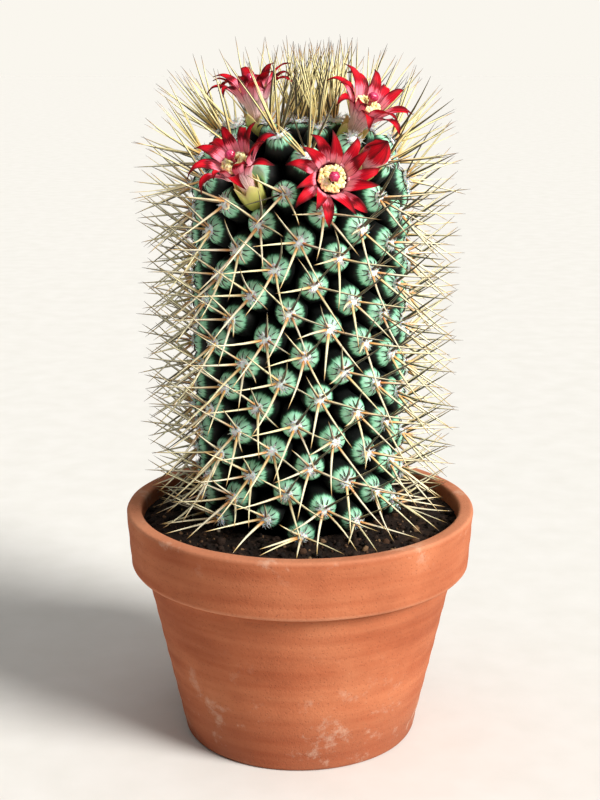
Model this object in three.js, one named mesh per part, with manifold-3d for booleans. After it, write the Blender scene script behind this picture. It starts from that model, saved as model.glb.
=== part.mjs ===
// A columnar nipple cactus in flower, planted in a plain clay pot.
// Millimetres, +Z up, origin on the surface the pot stands on, at the pot's axis. The front is -Y.
import * as THREE from "three";
import { ConvexHull } from "three/addons/math/ConvexHull.js";
import { mergeVertices } from "three/addons/utils/BufferGeometryUtils.js";
import Module from "manifold-3d";

const wasm = await Module();
wasm.setup();

// Driving dimensions
const FIT_GAP = 0.3; // air between a piece and the one that carries it
const UP = new THREE.Vector3(0, 0, 1);

const pot = {
  height: 80, rimRadius: 59, rimHeight: 20, rimTaper: 1.5, wall: 5,
  shoulder: 4.5, footRadius: 40, floor: 6, drainRadius: 7, chamfer: 1, sides: 36,
};

const soil = { edgeLevel: 75, mound: 1.5, lump: 0.5, sides: 32 };

const stem = {
  bottom: 61, neckFoot: 68, widening: 92, widest: 104, belly: 122, shoulder: 181, crown: 203.5, // heights
  rootRadius: 19,
  neckRadius: 25.4, // where it enters the soil
  axilRadius: 28.5, // to the bottom of the furrows between the tubercles
  crownRadius: 9, crownDip: 1.5,
  rootSites: 12, // plain sites that close the root end
};

const tubercle = {
  rise: 6.6, cellArea: 116, youngest: 0.36, youngCount: 26, turn: 137.508, phase: 24,
  areoleRadius: 1, areoleDome: 0.4, areoleTwist: 17, lowest: 78.3, soilGap: 0.5,
  besideBloom: 0.5, // share of the rise where a bloom stands on the areole
  // how far out towards the furrow each ring lies, and how high, as shares
  rings: [{ out: 0.82, up: 0.44 }, { out: 0.54, up: 0.87 }],
};

const spine = {
  length: 20.5, crownLength: 25.5, lengthJitter: 0.08, halfWidth: 0.5,
  spread: 41, crownSpread: 27, crownRise: 0.3, // degrees from upright on the tubercle, and pull to the light
  lowestTip: 78.5, clearance: 0.15, bloomClearance: 0.9,
};

const bloom = {
  mouth: 15.5, // from the foot to the mouth of the tube
  sunk: 2.6, // how far the foot reaches into the stem
  tubeRadius: 2.4, throatRadius: 5.2, wall: 0.8, tubeFloor: 4, tubeSides: 9,
  petals: 7, petalWidth: 4.1, petalThick: 0.8,
  reach: 14.5, // from the axis to the petal tips
  stamenRadius: 4.2, stigmaRadius: 1.7, styleRadius: 0.5,
  cupRadius: 4.1, cupHeight: 5.6, cupWall: 0.8, lobes: 5, lobeHeight: 3.4,
  budLength: 13, budRadius: 4.2,
};

// Each bloom stands in the furrow nearest to its foot, and its mouth points at its face
const blooms = [
  { name: "front", foot: [7, -28, 189.5], face: [9.7, -42, 194.5], roll: 8, open: true },
  { name: "left", foot: [-15.5, -25, 189], face: [-21, -34, 200.6], roll: 0, open: true },
  { name: "rear_left", foot: [-12, -6, 203], face: [-14.9, -5.2, 218], roll: 15, open: true },
  { name: "rear_right", foot: [14, -11.3, 201.4], face: [20.5, -17.8, 213.3], roll: 5, open: true },
  { name: "bud", foot: [18.3, -17.5, 193.1], face: [23.5, -25.5, 200.3], roll: 0, open: false },
];

const colours = {
  clay: 0xb5653f, soil: 0x1d1511, flesh: 0x8cc7a0,
  petal: 0xc8102e, stamen: 0xf3e6a0, stigma: 0xb01848, calyx: 0xdfe27a,
};

// Small tools

// A seeded draw, the same at each run, from 0 to 1
function draws(seed) {
  let state = seed;
  return () => {
    state = (state * 1664525 + 1013904223) % 4294967296;
    return state / 4294967296;
  };
}

// A closed geometry, its shared vertices merged, as a solid for cutting and joining
function solid(geometry) {
  const bare = geometry.clone();
  bare.deleteAttribute("normal");
  bare.deleteAttribute("uv");
  const merged = mergeVertices(bare, 1e-4);
  return new wasm.Manifold(new wasm.Mesh({
    numProp: 3,
    vertProperties: new Float32Array(merged.attributes.position.array),
    triVerts: new Uint32Array(merged.index.array),
  }));
}

// A solid back as a geometry
function geometryOf(made) {
  const mesh = made.getMesh();
  return new THREE.BufferGeometry()
    .setAttribute("position", new THREE.BufferAttribute(new Float32Array(mesh.vertProperties), 3))
    .setIndex(new THREE.BufferAttribute(new Uint32Array(mesh.triVerts), 1));
}

// A geometry from a list of points and a list of triangles
function polyhedron(points, triangles) {
  const geometry = new THREE.BufferGeometry();
  geometry.setFromPoints(points);
  geometry.setIndex(triangles.flat());
  return geometry;
}

// A closed ring or spindle turned about +Z from [radius, height] pairs, listed upwards along the outside
function turned(profile, sides) {
  const outline = profile.map(([radius, height]) => new THREE.Vector2(radius, height));
  return new THREE.LatheGeometry(outline, sides).rotateX(Math.PI / 2);
}

// Rings of points joined by quads, closed by a fan at each end; every ring has the same number of points
function loft(rings) {
  const count = rings[0].length;
  const points = rings.flat();
  const triangles = [];
  for (let r = 0; r + 1 < rings.length; r++) {
    for (let i = 0; i < count; i++) {
      const [a, b] = [r * count + i, r * count + (i + 1) % count];
      triangles.push([a, b, b + count], [a, b + count, a + count]);
    }
  }
  const last = (rings.length - 1) * count;
  for (let i = 1; i + 1 < count; i++) {
    triangles.push([0, i + 1, i], [last, last + i, last + i + 1]);
  }
  return polyhedron(points, triangles);
}

// Clay pot: tapered body, thick rim band, drain hole in the floor

const potBody = {
  rimFoot: pot.height - pot.rimHeight,
  bodyTop: pot.rimRadius - pot.rimTaper - pot.shoulder,
  innerRim: pot.rimRadius - pot.wall,
};

function potGeometry() {
  const { rimFoot, bodyTop, innerRim } = potBody;
  const round = pot.chamfer;
  return turned([
    [pot.drainRadius, 0],
    [pot.footRadius - round, 0],
    [pot.footRadius, round],
    [bodyTop, rimFoot],
    [pot.rimRadius - pot.rimTaper - round, rimFoot],
    [pot.rimRadius - pot.rimTaper, rimFoot + round],
    [pot.rimRadius, pot.height - round],
    [pot.rimRadius - round, pot.height],
    [innerRim + round, pot.height],
    [innerRim, pot.height - round],
    [innerRim - pot.rimTaper, rimFoot + pot.wall],
    [bodyTop - pot.wall, rimFoot],
    [pot.footRadius - pot.wall, pot.floor],
    [pot.drainRadius, pot.floor],
    [pot.drainRadius, 0],
  ], pot.sides);
}

// Soil: fills the pot, is mounded a little towards the plant, and has a plain hole for the stem

function soilGeometry() {
  const { rimFoot, bodyTop, innerRim } = potBody;
  const hole = (stem.neckRadius + FIT_GAP) / Math.cos(Math.PI / soil.sides);
  const edge = innerRim - FIT_GAP - pot.rimTaper * (pot.height - soil.edgeLevel) / pot.rimHeight;
  const width = edge - hole;
  const crest = soil.edgeLevel + soil.mound;
  const top = [0.7, 0.35].map((share) => [
    hole + share * width,
    crest - soil.mound * share ** 2,
  ]);
  const geometry = turned([
    [0, pot.floor + FIT_GAP],
    [pot.footRadius - pot.wall - FIT_GAP, pot.floor + FIT_GAP],
    [bodyTop - pot.wall - FIT_GAP, rimFoot],
    [innerRim - pot.rimTaper - FIT_GAP, rimFoot + pot.wall + FIT_GAP],
    [edge, soil.edgeLevel],
    ...top,
    [hole, crest],
    [hole, stem.neckFoot - FIT_GAP],
    [stem.rootRadius + FIT_GAP, stem.bottom - FIT_GAP],
    [0, stem.bottom - FIT_GAP],
  ], soil.sides);
  // Crumbled surface: lumps on the rings that are free of the wall and the hole
  const position = geometry.attributes.position;
  for (let i = 0; i < position.count; i++) {
    const [x, y, z] = [position.getX(i), position.getY(i), position.getZ(i)];
    const radius = Math.hypot(x, y);
    if (z > soil.edgeLevel - 1 && radius > hole + 1 && radius < edge - 1) {
      const lump = Math.sin(x * 0.61) * Math.cos(y * 0.53 + 1) + 0.6 * Math.sin(x * 1.3 + y * 1.1);
      position.setZ(i, z + soil.lump * lump);
    }
  }
  return geometry;
}

// Stem: the furrow surface is turned from an outline, and the tubercles rise from it in their cells

function stemOutline() {
  const { axilRadius, neckRadius, crown, crownRadius } = stem;
  const outline = new THREE.Path();
  outline.moveTo(stem.rootRadius, stem.bottom);
  outline.lineTo(neckRadius, stem.neckFoot);
  outline.lineTo(neckRadius, soil.edgeLevel);
  outline.bezierCurveTo(axilRadius - 1, stem.widening, axilRadius, stem.widest, axilRadius, stem.belly);
  outline.lineTo(axilRadius, stem.shoulder);
  outline.bezierCurveTo(axilRadius, crown - 4, 2 * crownRadius, crown + 1, crownRadius, crown);
  outline.lineTo(0, crown - stem.crownDip);
  return outline;
}

// The outline in fine steps from the crown down, with what the spiral and the cells need:
// the area passed so far, and the stretch that makes the skin a map without distortion
function skinSteps() {
  const outline = stemOutline();
  const count = 1500;
  const stride = outline.getLength() / count;
  const steps = [];
  let area = 0;
  let stretch = 0;
  for (let i = 1; i < count; i++) {
    const { x: radius, y: height } = outline.getPointAt(1 - i / count);
    const tangent = outline.getTangentAt(1 - i / count);
    area += 2 * Math.PI * radius * stride;
    stretch -= stride / radius;
    steps.push({ radius, height, area, stretch, normal: [tangent.y, -tangent.x] });
  }
  const middle = steps.find((step) => step.height < stem.belly).stretch;
  return steps.map((step) => ({ ...step, stretch: step.stretch - middle }));
}

const skin = skinSteps();

// A site on the furrow surface, with its place on a sphere where neighbours can be found
function siteAt(step, angle, rise) {
  const [cos, sin] = [Math.cos(angle), Math.sin(angle)];
  const waist = Math.cosh(step.stretch);
  return {
    rise,
    at: new THREE.Vector3(step.radius * cos, step.radius * sin, step.height),
    normal: new THREE.Vector3(step.normal[0] * cos, step.normal[0] * sin, step.normal[1]),
    onSphere: new THREE.Vector3(cos / waist, sin / waist, Math.tanh(step.stretch)),
  };
}

// Tubercles on the golden-angle spiral, from the youngest at the crown downwards
function spiralSites() {
  const sites = [];
  let covered = 0;
  for (let k = 0; ; k++) {
    const age = Math.min(1, k / tubercle.youngCount);
    const share = tubercle.youngest + (1 - tubercle.youngest) * age;
    covered += tubercle.cellArea * share;
    const step = skin.find((s) => s.area > covered - tubercle.cellArea * share / 2);
    if (!step || step.height < stem.neckFoot - 3) return sites;
    const angle = THREE.MathUtils.degToRad(tubercle.phase + k * tubercle.turn);
    const grown = step.height > tubercle.lowest;
    sites.push(siteAt(step, angle, grown ? tubercle.rise * Math.sqrt(share) : 0));
  }
}

// A ring of plain sites and one under the axis close the root end
function rootSites() {
  const last = skin.at(-1);
  const ring = Array.from({ length: stem.rootSites }, (_, i) =>
    siteAt(last, 2 * Math.PI * i / stem.rootSites, 0));
  const under = {
    rise: 0,
    at: new THREE.Vector3(0, 0, last.height),
    normal: new THREE.Vector3(0, 0, -1),
    onSphere: new THREE.Vector3(0, 0, -1),
  };
  return [...ring, under];
}

// Cells: each site's corners in the furrows, which it shares with its neighbours, in order round it

function cells(sites) {
  const numbers = new Map(sites.map((site, number) => [site.onSphere, number]));
  const corners = [];
  const faceAfter = new Map();
  // A face of the hull on the sphere joins three neighbours, and its middle is one corner
  for (const face of new ConvexHull().setFromPoints([...numbers.keys()]).faces) {
    const ends = [0, 1, 2].map((i) => numbers.get(face.getEdge(i).head().point));
    const middle = new THREE.Vector3();
    ends.forEach((end) => middle.addScaledVector(sites[end].at, 1 / 3));
    const corner = corners.push(middle) - 1;
    ends.forEach((end, i) => {
      faceAfter.set(`${end} ${ends[(i + 1) % 3]}`, { corner, next: ends[(i + 2) % 3] });
    });
  }
  const around = sites.map((_, number) => {
    const first = sites.findIndex((_, i) => faceAfter.has(`${number} ${i}`));
    const ring = [];
    let neighbour = first;
    do {
      const face = faceAfter.get(`${number} ${neighbour}`);
      ring.push(face.corner);
      neighbour = face.next;
    } while (neighbour !== first);
    return ring;
  });
  return { corners, around };
}

const sites = [...spiralSites(), ...rootSites()];
const { corners, around } = cells(sites);

// The lowest tubercles rest just above the soil
const fleshFoot = soil.edgeLevel + soil.mound + tubercle.soilGap;
sites.forEach((site, number) => {
  if (site.rise > 0) around[number].forEach((i) => corners[i].setZ(Math.max(corners[i].z, fleshFoot)));
});

// Blooms stand in the furrows

const lobeTop = bloom.cupHeight + bloom.lobeHeight;
const tubeFoot = 1; // the tube starts inside the cup

for (const b of blooms) {
  const wanted = new THREE.Vector3(...b.foot);
  b.foot = corners.reduce((near, corner) =>
    (corner.distanceTo(wanted) < near.distanceTo(wanted) ? corner : near));
  b.axis = new THREE.Vector3(...b.face).sub(b.foot).normalize();
  b.turnTo = new THREE.Quaternion().setFromUnitVectors(UP, b.axis)
    .multiply(new THREE.Quaternion().setFromAxisAngle(UP, THREE.MathUtils.degToRad(b.roll)));
}

// The room that a bloom takes, as [distance up its axis, radius] pairs, which spines keep clear of
const openRoom = [[-bloom.sunk, bloom.cupRadius], [lobeTop, bloom.cupRadius + 0.5], [bloom.mouth - 1, 6.4],
  [bloom.mouth + 1, 8.8], [bloom.mouth + 2, bloom.reach], [bloom.mouth + 8, bloom.reach]];
const budRoom = [[-bloom.sunk, bloom.cupRadius], [lobeTop, bloom.cupRadius + 0.5],
  [bloom.cupHeight + bloom.budLength, 0.5]];

function insideBloom(b, point) {
  const room = b.open ? openRoom : budRoom;
  const offset = point.clone().sub(b.foot);
  const along = offset.dot(b.axis);
  const across = Math.sqrt(Math.max(0, offset.lengthSq() - along * along)) - spine.bloomClearance;
  return room.slice(1).some(([high, wide], i) => {
    const [low, narrow] = room[i];
    const width = THREE.MathUtils.mapLinear(along, low, high, narrow, wide);
    return along > low && along < high && across < width;
  });
}

// Spines: straight three-sided needles that rise from the areoles

const planted = [];

// Whether a needle from base to tip crosses no bloom and none of the needles of other areoles
function isClear(needle, number) {
  const length = needle.distance();
  for (let share = 0; share <= 1; share += 0.04) {
    const point = needle.at(share, new THREE.Vector3());
    if (blooms.some((b) => insideBloom(b, point))) return false;
  }
  const [mine, theirs] = [new THREE.Vector3(), new THREE.Vector3()];
  return planted.every((other) => {
    if (other.number === number) return true;
    const apart = Math.sqrt(needle.distanceSqToLine3(other.needle, mine, theirs));
    const widths = spine.halfWidth * (1 - mine.distanceTo(needle.start) / length)
      + spine.halfWidth * (1 - theirs.distanceTo(other.needle.start) / other.needle.distance());
    return apart > widths + spine.clearance;
  });
}

// The needle that leaves an areole sideways along the unit vector `side`, at a share of its full spread
function needleFrom(site, base, side, length, spreadShare) {
  const young = THREE.MathUtils.smoothstep(site.at.z, stem.shoulder, stem.crown);
  const spread = THREE.MathUtils.degToRad(THREE.MathUtils.lerp(spine.spread, spine.crownSpread, young));
  const way = site.normal.clone().multiplyScalar(Math.cos(spread * spreadShare))
    .addScaledVector(side, Math.sin(spread * spreadShare))
    .addScaledVector(UP, spine.crownRise * young).normalize();
  const reach = length * THREE.MathUtils.lerp(spine.length, spine.crownLength, young);
  // Near the soil a spine that points down is bent up until its tip clears the surface
  const lowest = (spine.lowestTip - base.z) / reach;
  if (way.z < lowest) {
    const level = Math.sqrt((1 - lowest * lowest) / (way.x * way.x + way.y * way.y));
    way.set(way.x * level, way.y * level, lowest);
  }
  return new THREE.Line3(base, base.clone().addScaledVector(way, reach));
}

// The tip of the widest-spread needle that is clear there, or nothing
function plantSpine(site, number, base, side, length) {
  for (const spreadShare of [1, 0.85, 0.7, 0.5, 0.3, 0.1]) {
    const needle = needleFrom(site, base, side, length, spreadShare);
    if (isClear(needle, number)) {
      planted.push({ needle, number });
      return needle.end;
    }
  }
  return null;
}

// The stem's surface: round each site its furrow corners, its tubercle's rings, and its areole with spines
function stemGeometry() {
  const points = corners.map((corner) => corner.clone());
  const triangles = [];
  const add = (point) => points.push(point) - 1;
  const random = draws(7);

  sites.forEach((site, number) => {
    let outer = around[number];
    const count = outer.length;
    const ownCorners = outer.map((i) => corners[i]);
    // Joins the last ring to a new one further in
    const join = (inner) => {
      outer.forEach((a, i) => {
        const j = (i + 1) % count;
        triangles.push([a, outer[j], inner[j]], [a, inner[j], inner[i]]);
      });
      outer = inner;
    };
    if (site.rise === 0) {
      const middle = add(site.at);
      outer.forEach((a, i) => triangles.push([a, outer[(i + 1) % count], middle]));
      return;
    }
    const summit = site.at.clone().addScaledVector(site.normal, site.rise);
    const pressed = blooms.some((b) => insideBloom(b, summit));
    const rise = site.rise * (pressed ? tubercle.besideBloom : 1);
    for (const ring of tubercle.rings) {
      join(ownCorners.map((corner) => {
        const point = site.at.clone().lerp(corner, ring.out).addScaledVector(site.normal, rise * ring.up);
        return add(point.setZ(Math.max(point.z, fleshFoot)));
      }));
    }
    const top = site.at.clone().addScaledVector(site.normal, rise);
    const twist = THREE.MathUtils.degToRad(tubercle.areoleTwist);
    const rim = ownCorners.map((corner) => {
      const side = corner.clone().sub(site.at).projectOnPlane(site.normal).normalize();
      return top.clone().addScaledVector(side.applyAxisAngle(site.normal, twist), tubercle.areoleRadius);
    });
    join(rim.map(add));
    const middle = add(top.clone().addScaledVector(site.normal, tubercle.areoleDome));
    outer.forEach((a, i) => {
      const b = outer[(i + 1) % count];
      const base = points[a].clone().add(points[b]).add(points[middle]).divideScalar(3);
      const side = base.clone().sub(top).projectOnPlane(site.normal).normalize();
      const length = 1 + spine.lengthJitter * (2 * random() - 1);
      const resting = (i + number) % count === 0; // one side of each areole is bare
      const tip = resting ? null : plantSpine(site, number, base, side, length);
      if (tip) {
        const end = add(tip);
        triangles.push([a, b, end], [b, middle, end], [middle, a, end]);
      } else {
        triangles.push([a, b, middle]);
      }
    });
  });
  return polyhedron(points, triangles);
}

// The stem with a socket in the furrow for the foot of each bloom
function stemSolid() {
  const radius = bloom.cupRadius + FIT_GAP;
  const bottom = -bloom.sunk - FIT_GAP;
  const socket = turned([
    [0, bottom],
    [radius * 0.6, bottom],
    [radius * 0.92, bottom + 1.6],
    [radius, bloom.cupHeight * 0.5],
    [radius, bloom.mouth - 2],
    [0, bloom.mouth - 2],
  ], 12);
  return blooms.reduce((made, b) => {
    const placed = socket.clone().applyQuaternion(b.turnTo).translate(b.foot.x, b.foot.y, b.foot.z);
    return made.subtract(solid(placed));
  }, solid(stemGeometry()));
}

// Bloom pieces, drawn about +Z with the foot at the origin

function circle(sides, radius, height, turn = 0) {
  return Array.from({ length: sides }, (_, i) => {
    const angle = turn + i * 2 * Math.PI / sides;
    return new THREE.Vector3(radius * Math.cos(angle), radius * Math.sin(angle), height);
  });
}

// Cup of pointed green-yellow lobes round the foot of the tube
function calyxGeometry() {
  const { cupRadius, cupHeight, cupWall, sunk, lobes, lobeHeight } = bloom;
  const sides = lobes * 2;
  const pointed = (radius) => circle(sides, radius, cupHeight).map((point, i) =>
    (i % 2 ? point : point.setZ(cupHeight + lobeHeight)));
  return loft([
    circle(sides, cupRadius * 0.55, -sunk),
    circle(sides, cupRadius * 0.88, -sunk + 1.8),
    circle(sides, cupRadius, cupHeight * 0.5),
    pointed(cupRadius),
    pointed(cupRadius - cupWall),
    circle(sides, cupRadius - cupWall, cupHeight * 0.5),
    circle(sides, bloom.tubeRadius + FIT_GAP, tubeFoot - FIT_GAP),
  ]);
}

// One petal: a blade flat above and keeled below, along an arched line of [out, up] pairs
function petalGeometry(line, sideways) {
  const curve = new THREE.CatmullRomCurve3(line.map(([out, up]) => new THREE.Vector3(out, 0, up)));
  const widths = [0.6, 0.9, 1, 0.66];
  const sections = widths.map((share, i) => {
    const along = i / widths.length;
    const at = curve.getPointAt(along);
    const ahead = curve.getTangentAt(along);
    const above = new THREE.Vector3(-ahead.z, 0, ahead.x);
    const half = bloom.petalWidth * share / 2;
    const point = (across, up) => at.clone().addScaledVector(above, up).setY(across + sideways * along ** 2);
    return [point(-half, 0), point(0, -bloom.petalThick), point(half, 0)];
  });
  const points = [...sections.flat(), curve.getPointAt(1).setY(sideways)];
  const tip = points.length - 1;
  const last = 3 * (sections.length - 1);
  const triangles = [[0, 2, 1]];
  for (let i = 0; i < 3; i++) {
    const j = (i + 1) % 3;
    for (let r = 0; r < last; r += 3) {
      triangles.push([r + i, r + j, r + 3 + j], [r + i, r + 3 + j, r + 3 + i]);
    }
    triangles.push([last + i, last + j, tip]);
  }
  return polyhedron(points, triangles);
}

// Outer whorl curled back and inner whorl more upright, as [out, up] lines from the tube's wall to the tips
function whorls() {
  const { mouth, reach, throatRadius } = bloom;
  return [
    { start: 0, sway: 3, line: [[throatRadius - 0.9, mouth - 3], [throatRadius + 1, mouth],
      [reach * 0.62, mouth + 2.6], [reach * 0.84, mouth + 3.2], [reach, mouth + 1]] },
    { start: 0.5, sway: 2.4, line: [[throatRadius - 0.9, mouth - 2.4], [throatRadius, mouth + 0.8],
      [reach * 0.5, mouth + 4], [reach * 0.7, mouth + 6], [reach * 0.88, mouth + 6]] },
  ];
}

// Corolla: a funnel tube with its two whorls of petals
function corollaGeometry() {
  const { tubeRadius, throatRadius, mouth, wall, tubeFloor } = bloom;
  const tube = turned([
    [0, tubeFoot],
    [tubeRadius, tubeFoot],
    [tubeRadius + 0.4, lobeTop],
    [throatRadius, mouth - 2],
    [throatRadius + 0.4, mouth - 0.3],
    [throatRadius + 0.4 - wall, mouth - 0.3],
    [throatRadius - wall, mouth - 2.3],
    [tubeRadius + 0.4 - wall, lobeTop],
    [tubeRadius - wall, tubeFloor],
    [0, tubeFloor],
  ], bloom.tubeSides);
  const petals = whorls().flatMap(({ start, sway, line }) =>
    Array.from({ length: bloom.petals }, (_, i) =>
      petalGeometry(line, sway).rotateZ((i + start) * 2 * Math.PI / bloom.petals)));
  return geometryOf(petals.reduce((made, petal) => made.add(solid(petal)), solid(tube)));
}

// Stamens: a crown of anthers that rests in the throat, open in the middle for the style
function stamenGeometry() {
  const { mouth, stamenRadius, styleRadius, throatRadius, wall } = bloom;
  const sides = 12;
  const hole = styleRadius + 2 * FIT_GAP;
  const geometry = turned([
    [hole, mouth - 5],
    [2.4, mouth - 5],
    [throatRadius - wall - 1.2, mouth - 2.4],
    [stamenRadius, mouth + 0.6],
    [stamenRadius * 0.7, mouth + 1.6],
    [hole, mouth + 0.4],
    [hole, mouth - 5],
  ], sides);
  const position = geometry.attributes.position;
  for (let i = 0; i < position.count; i++) {
    const [x, y, z] = [position.getX(i), position.getY(i), position.getZ(i)];
    const anther = 0.4 * Math.cos(Math.atan2(y, x) * sides / 2);
    if (Math.hypot(x, y) > hole + 1 && z > mouth) position.setZ(i, z + anther);
  }
  return geometry;
}

// Pistil: a style from the floor of the tube with the round stigma on top
function pistilGeometry() {
  const { mouth, styleRadius, stigmaRadius, tubeFloor } = bloom;
  const middle = mouth + 2.1 + stigmaRadius;
  const ball = [-50, -5, 40].map((degrees) => THREE.MathUtils.degToRad(degrees))
    .map((angle) => [stigmaRadius * Math.cos(angle), middle + stigmaRadius * Math.sin(angle)]);
  return turned([
    [0, tubeFloor + FIT_GAP],
    [styleRadius, tubeFloor + FIT_GAP],
    [styleRadius, middle - stigmaRadius],
    ...ball,
    [0, middle + stigmaRadius],
  ], 8);
}

// Bud: furled petals as slightly twisted ribs that close to a point
function budGeometry() {
  const { tubeRadius, budLength, budRadius, cupHeight } = bloom;
  const sides = 12;
  const stations = [
    [tubeFoot, tubeRadius],
    [cupHeight, tubeRadius + 0.3],
    [cupHeight + 3.6, budRadius * 0.78],
    [cupHeight + budLength * 0.45, budRadius],
    [cupHeight + budLength * 0.7, budRadius * 0.7],
    [cupHeight + budLength * 0.9, budRadius * 0.25],
    [cupHeight + budLength, 0.1],
  ];
  return loft(stations.map(([height, radius], station) =>
    circle(sides, radius, height, station * 0.16).map((point, i) => {
      const furl = station > 1 && radius > 1 && i % 2 ? 0.84 : 1; // the ribs end just below the tip
      return point.set(point.x * furl, point.y * furl, point.z);
    })));
}

// Assembly

const plant = new THREE.Group();

function piece(name, geometry, color, roughness) {
  const mesh = new THREE.Mesh(geometry, new THREE.MeshStandardMaterial({ color, roughness, metalness: 0 }));
  mesh.name = name;
  return mesh;
}

plant.add(piece("pot", potGeometry(), colours.clay, 0.85));
plant.add(piece("soil", soilGeometry(), colours.soil, 0.95));
plant.add(piece("stem", geometryOf(stemSolid()), colours.flesh, 0.6));

for (const b of blooms) {
  const flower = new THREE.Group();
  flower.position.copy(b.foot);
  flower.quaternion.copy(b.turnTo);
  flower.add(piece(`calyx_${b.name}`, calyxGeometry(), colours.calyx, 0.5));
  if (b.open) {
    flower.add(piece(`corolla_${b.name}`, corollaGeometry(), colours.petal, 0.45));
    flower.add(piece(`stamens_${b.name}`, stamenGeometry(), colours.stamen, 0.8));
    flower.add(piece(`pistil_${b.name}`, pistilGeometry(), colours.stigma, 0.3));
  } else {
    flower.add(piece(`petals_${b.name}`, budGeometry(), colours.petal, 0.45));
  }
  plant.add(flower);
}

export default plant;
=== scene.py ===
import math

import bmesh
import bpy
import numpy as np
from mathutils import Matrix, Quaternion, Vector


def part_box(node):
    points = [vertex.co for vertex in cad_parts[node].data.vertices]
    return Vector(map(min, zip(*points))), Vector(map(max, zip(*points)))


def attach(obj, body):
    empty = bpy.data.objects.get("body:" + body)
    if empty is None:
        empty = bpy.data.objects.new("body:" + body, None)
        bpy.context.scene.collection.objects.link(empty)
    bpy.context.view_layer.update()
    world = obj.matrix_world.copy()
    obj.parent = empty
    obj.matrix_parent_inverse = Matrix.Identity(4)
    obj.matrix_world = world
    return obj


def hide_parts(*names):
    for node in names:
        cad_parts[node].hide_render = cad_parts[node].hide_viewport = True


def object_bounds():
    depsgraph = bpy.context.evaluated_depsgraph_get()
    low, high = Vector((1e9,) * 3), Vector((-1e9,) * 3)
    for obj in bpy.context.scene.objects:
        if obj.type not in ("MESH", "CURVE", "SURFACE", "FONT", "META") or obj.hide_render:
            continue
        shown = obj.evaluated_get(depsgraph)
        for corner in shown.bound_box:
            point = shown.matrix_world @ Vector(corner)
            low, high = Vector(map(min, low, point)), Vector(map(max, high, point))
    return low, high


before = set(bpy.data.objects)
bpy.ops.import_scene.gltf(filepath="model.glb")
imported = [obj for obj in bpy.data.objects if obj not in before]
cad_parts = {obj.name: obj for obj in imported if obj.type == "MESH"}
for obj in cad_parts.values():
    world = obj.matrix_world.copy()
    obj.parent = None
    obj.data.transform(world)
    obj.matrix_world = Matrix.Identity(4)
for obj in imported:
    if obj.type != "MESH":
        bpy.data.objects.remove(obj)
cad_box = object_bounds()

# Viewpoint: the plate is drawn from in front, from about the height of the crown, so the tops of the
# soil and of the lower tubercles show. The view is drawn back from the plate's own framing far
# enough to take in the whole pot under the plant.

MM = 0.001
IMAGE_HEIGHT = 800
camera_data = bpy.data.cameras.new("viewpoint")
camera = bpy.data.objects.new("viewpoint", camera_data)
bpy.context.scene.collection.objects.link(camera)
camera.location = Vector((0, -480, 240)) * MM
look_at = Vector((0, 0, 116)) * MM
camera.rotation_euler = (look_at - camera.location).to_track_quat("-Z", "Y").to_euler()
pixels_per_mm = 2.98
view_distance = (look_at - camera.location).length / MM
camera_data.sensor_fit = "VERTICAL"
camera_data.sensor_height = 36
camera_data.lens = camera_data.sensor_height * pixels_per_mm * view_distance / IMAGE_HEIGHT
camera_data.clip_start = 0.01
bpy.context.scene.camera = camera


# Pot: a squat round flower pot of soft red clay, thrown with a thick rim band and a drain hole, and
# fired without glaze. Watering has left pale salts on its outside and a darker, damp foot.

_, pot_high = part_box("pot")
POT_HEIGHT = pot_high.z / MM
RIM_RADIUS = pot_high.x / MM
RIM_HEIGHT = 20
RIM_TAPER = 1.5
POT_WALL = 5
SHOULDER = 4.5
FOOT_RADIUS = 40
POT_FLOOR = 6
DRAIN_RADIUS = 7
POT_SIDES = 176
POT_EDGE = 1.3  # how far back from each corner its rounding starts
POT_STRETCH = 2.2  # the longest step between points along the outline
RIDGE_DEPTH = 0.09  # of the ridges that the thrower's fingers leave
RIDGE_TURN = 2.1  # how far the ridges go through their wave in a millimetre of height, in radians
POT_UNEVEN = 0.14
RIM_FOOT = POT_HEIGHT - RIM_HEIGHT
BODY_TOP = RIM_RADIUS - RIM_TAPER - SHOULDER
INNER_RIM = RIM_RADIUS - POT_WALL


def link_mesh(name, points, faces, smooth=True):
    """A mesh object from points in millimetres and faces, linked to the scene."""
    mesh = bpy.data.meshes.new(name)
    mesh.from_pydata((np.asarray(points, float) * MM).tolist(), [], faces)
    mesh.validate()
    if smooth:
        mesh.shade_smooth()
    piece = bpy.data.objects.new(name, mesh)
    bpy.context.scene.collection.objects.link(piece)
    return piece


def ring_faces(rows, count, closed=False):
    """Faces between rings of points that follow one another. Closed joins the last ring to the first,
    and otherwise a face shuts each end."""
    faces = []
    for r in range(rows if closed else rows - 1):
        below, above = r * count, (r + 1) % rows * count
        for i in range(count):
            j = (i + 1) % count
            faces.append((below + i, below + j, above + j, above + i))
    if not closed:
        faces.append(tuple(range(count - 1, -1, -1)))
        faces.append(tuple(range((rows - 1) * count, rows * count)))
    return faces


def lathe(profile, sides, closed=True):
    """Points and faces of an outline of [radius, height] pairs turned about the upright axis."""
    profile = np.asarray(profile, float)
    turns = np.arange(sides) * 2 * math.pi / sides
    points = np.stack([
        profile[:, 0][:, None] * np.cos(turns),
        profile[:, 0][:, None] * np.sin(turns),
        np.repeat(profile[:, 1][:, None], sides, 1),
    ], 2).reshape(-1, 3)
    return points, ring_faces(len(profile), sides, closed)


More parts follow.
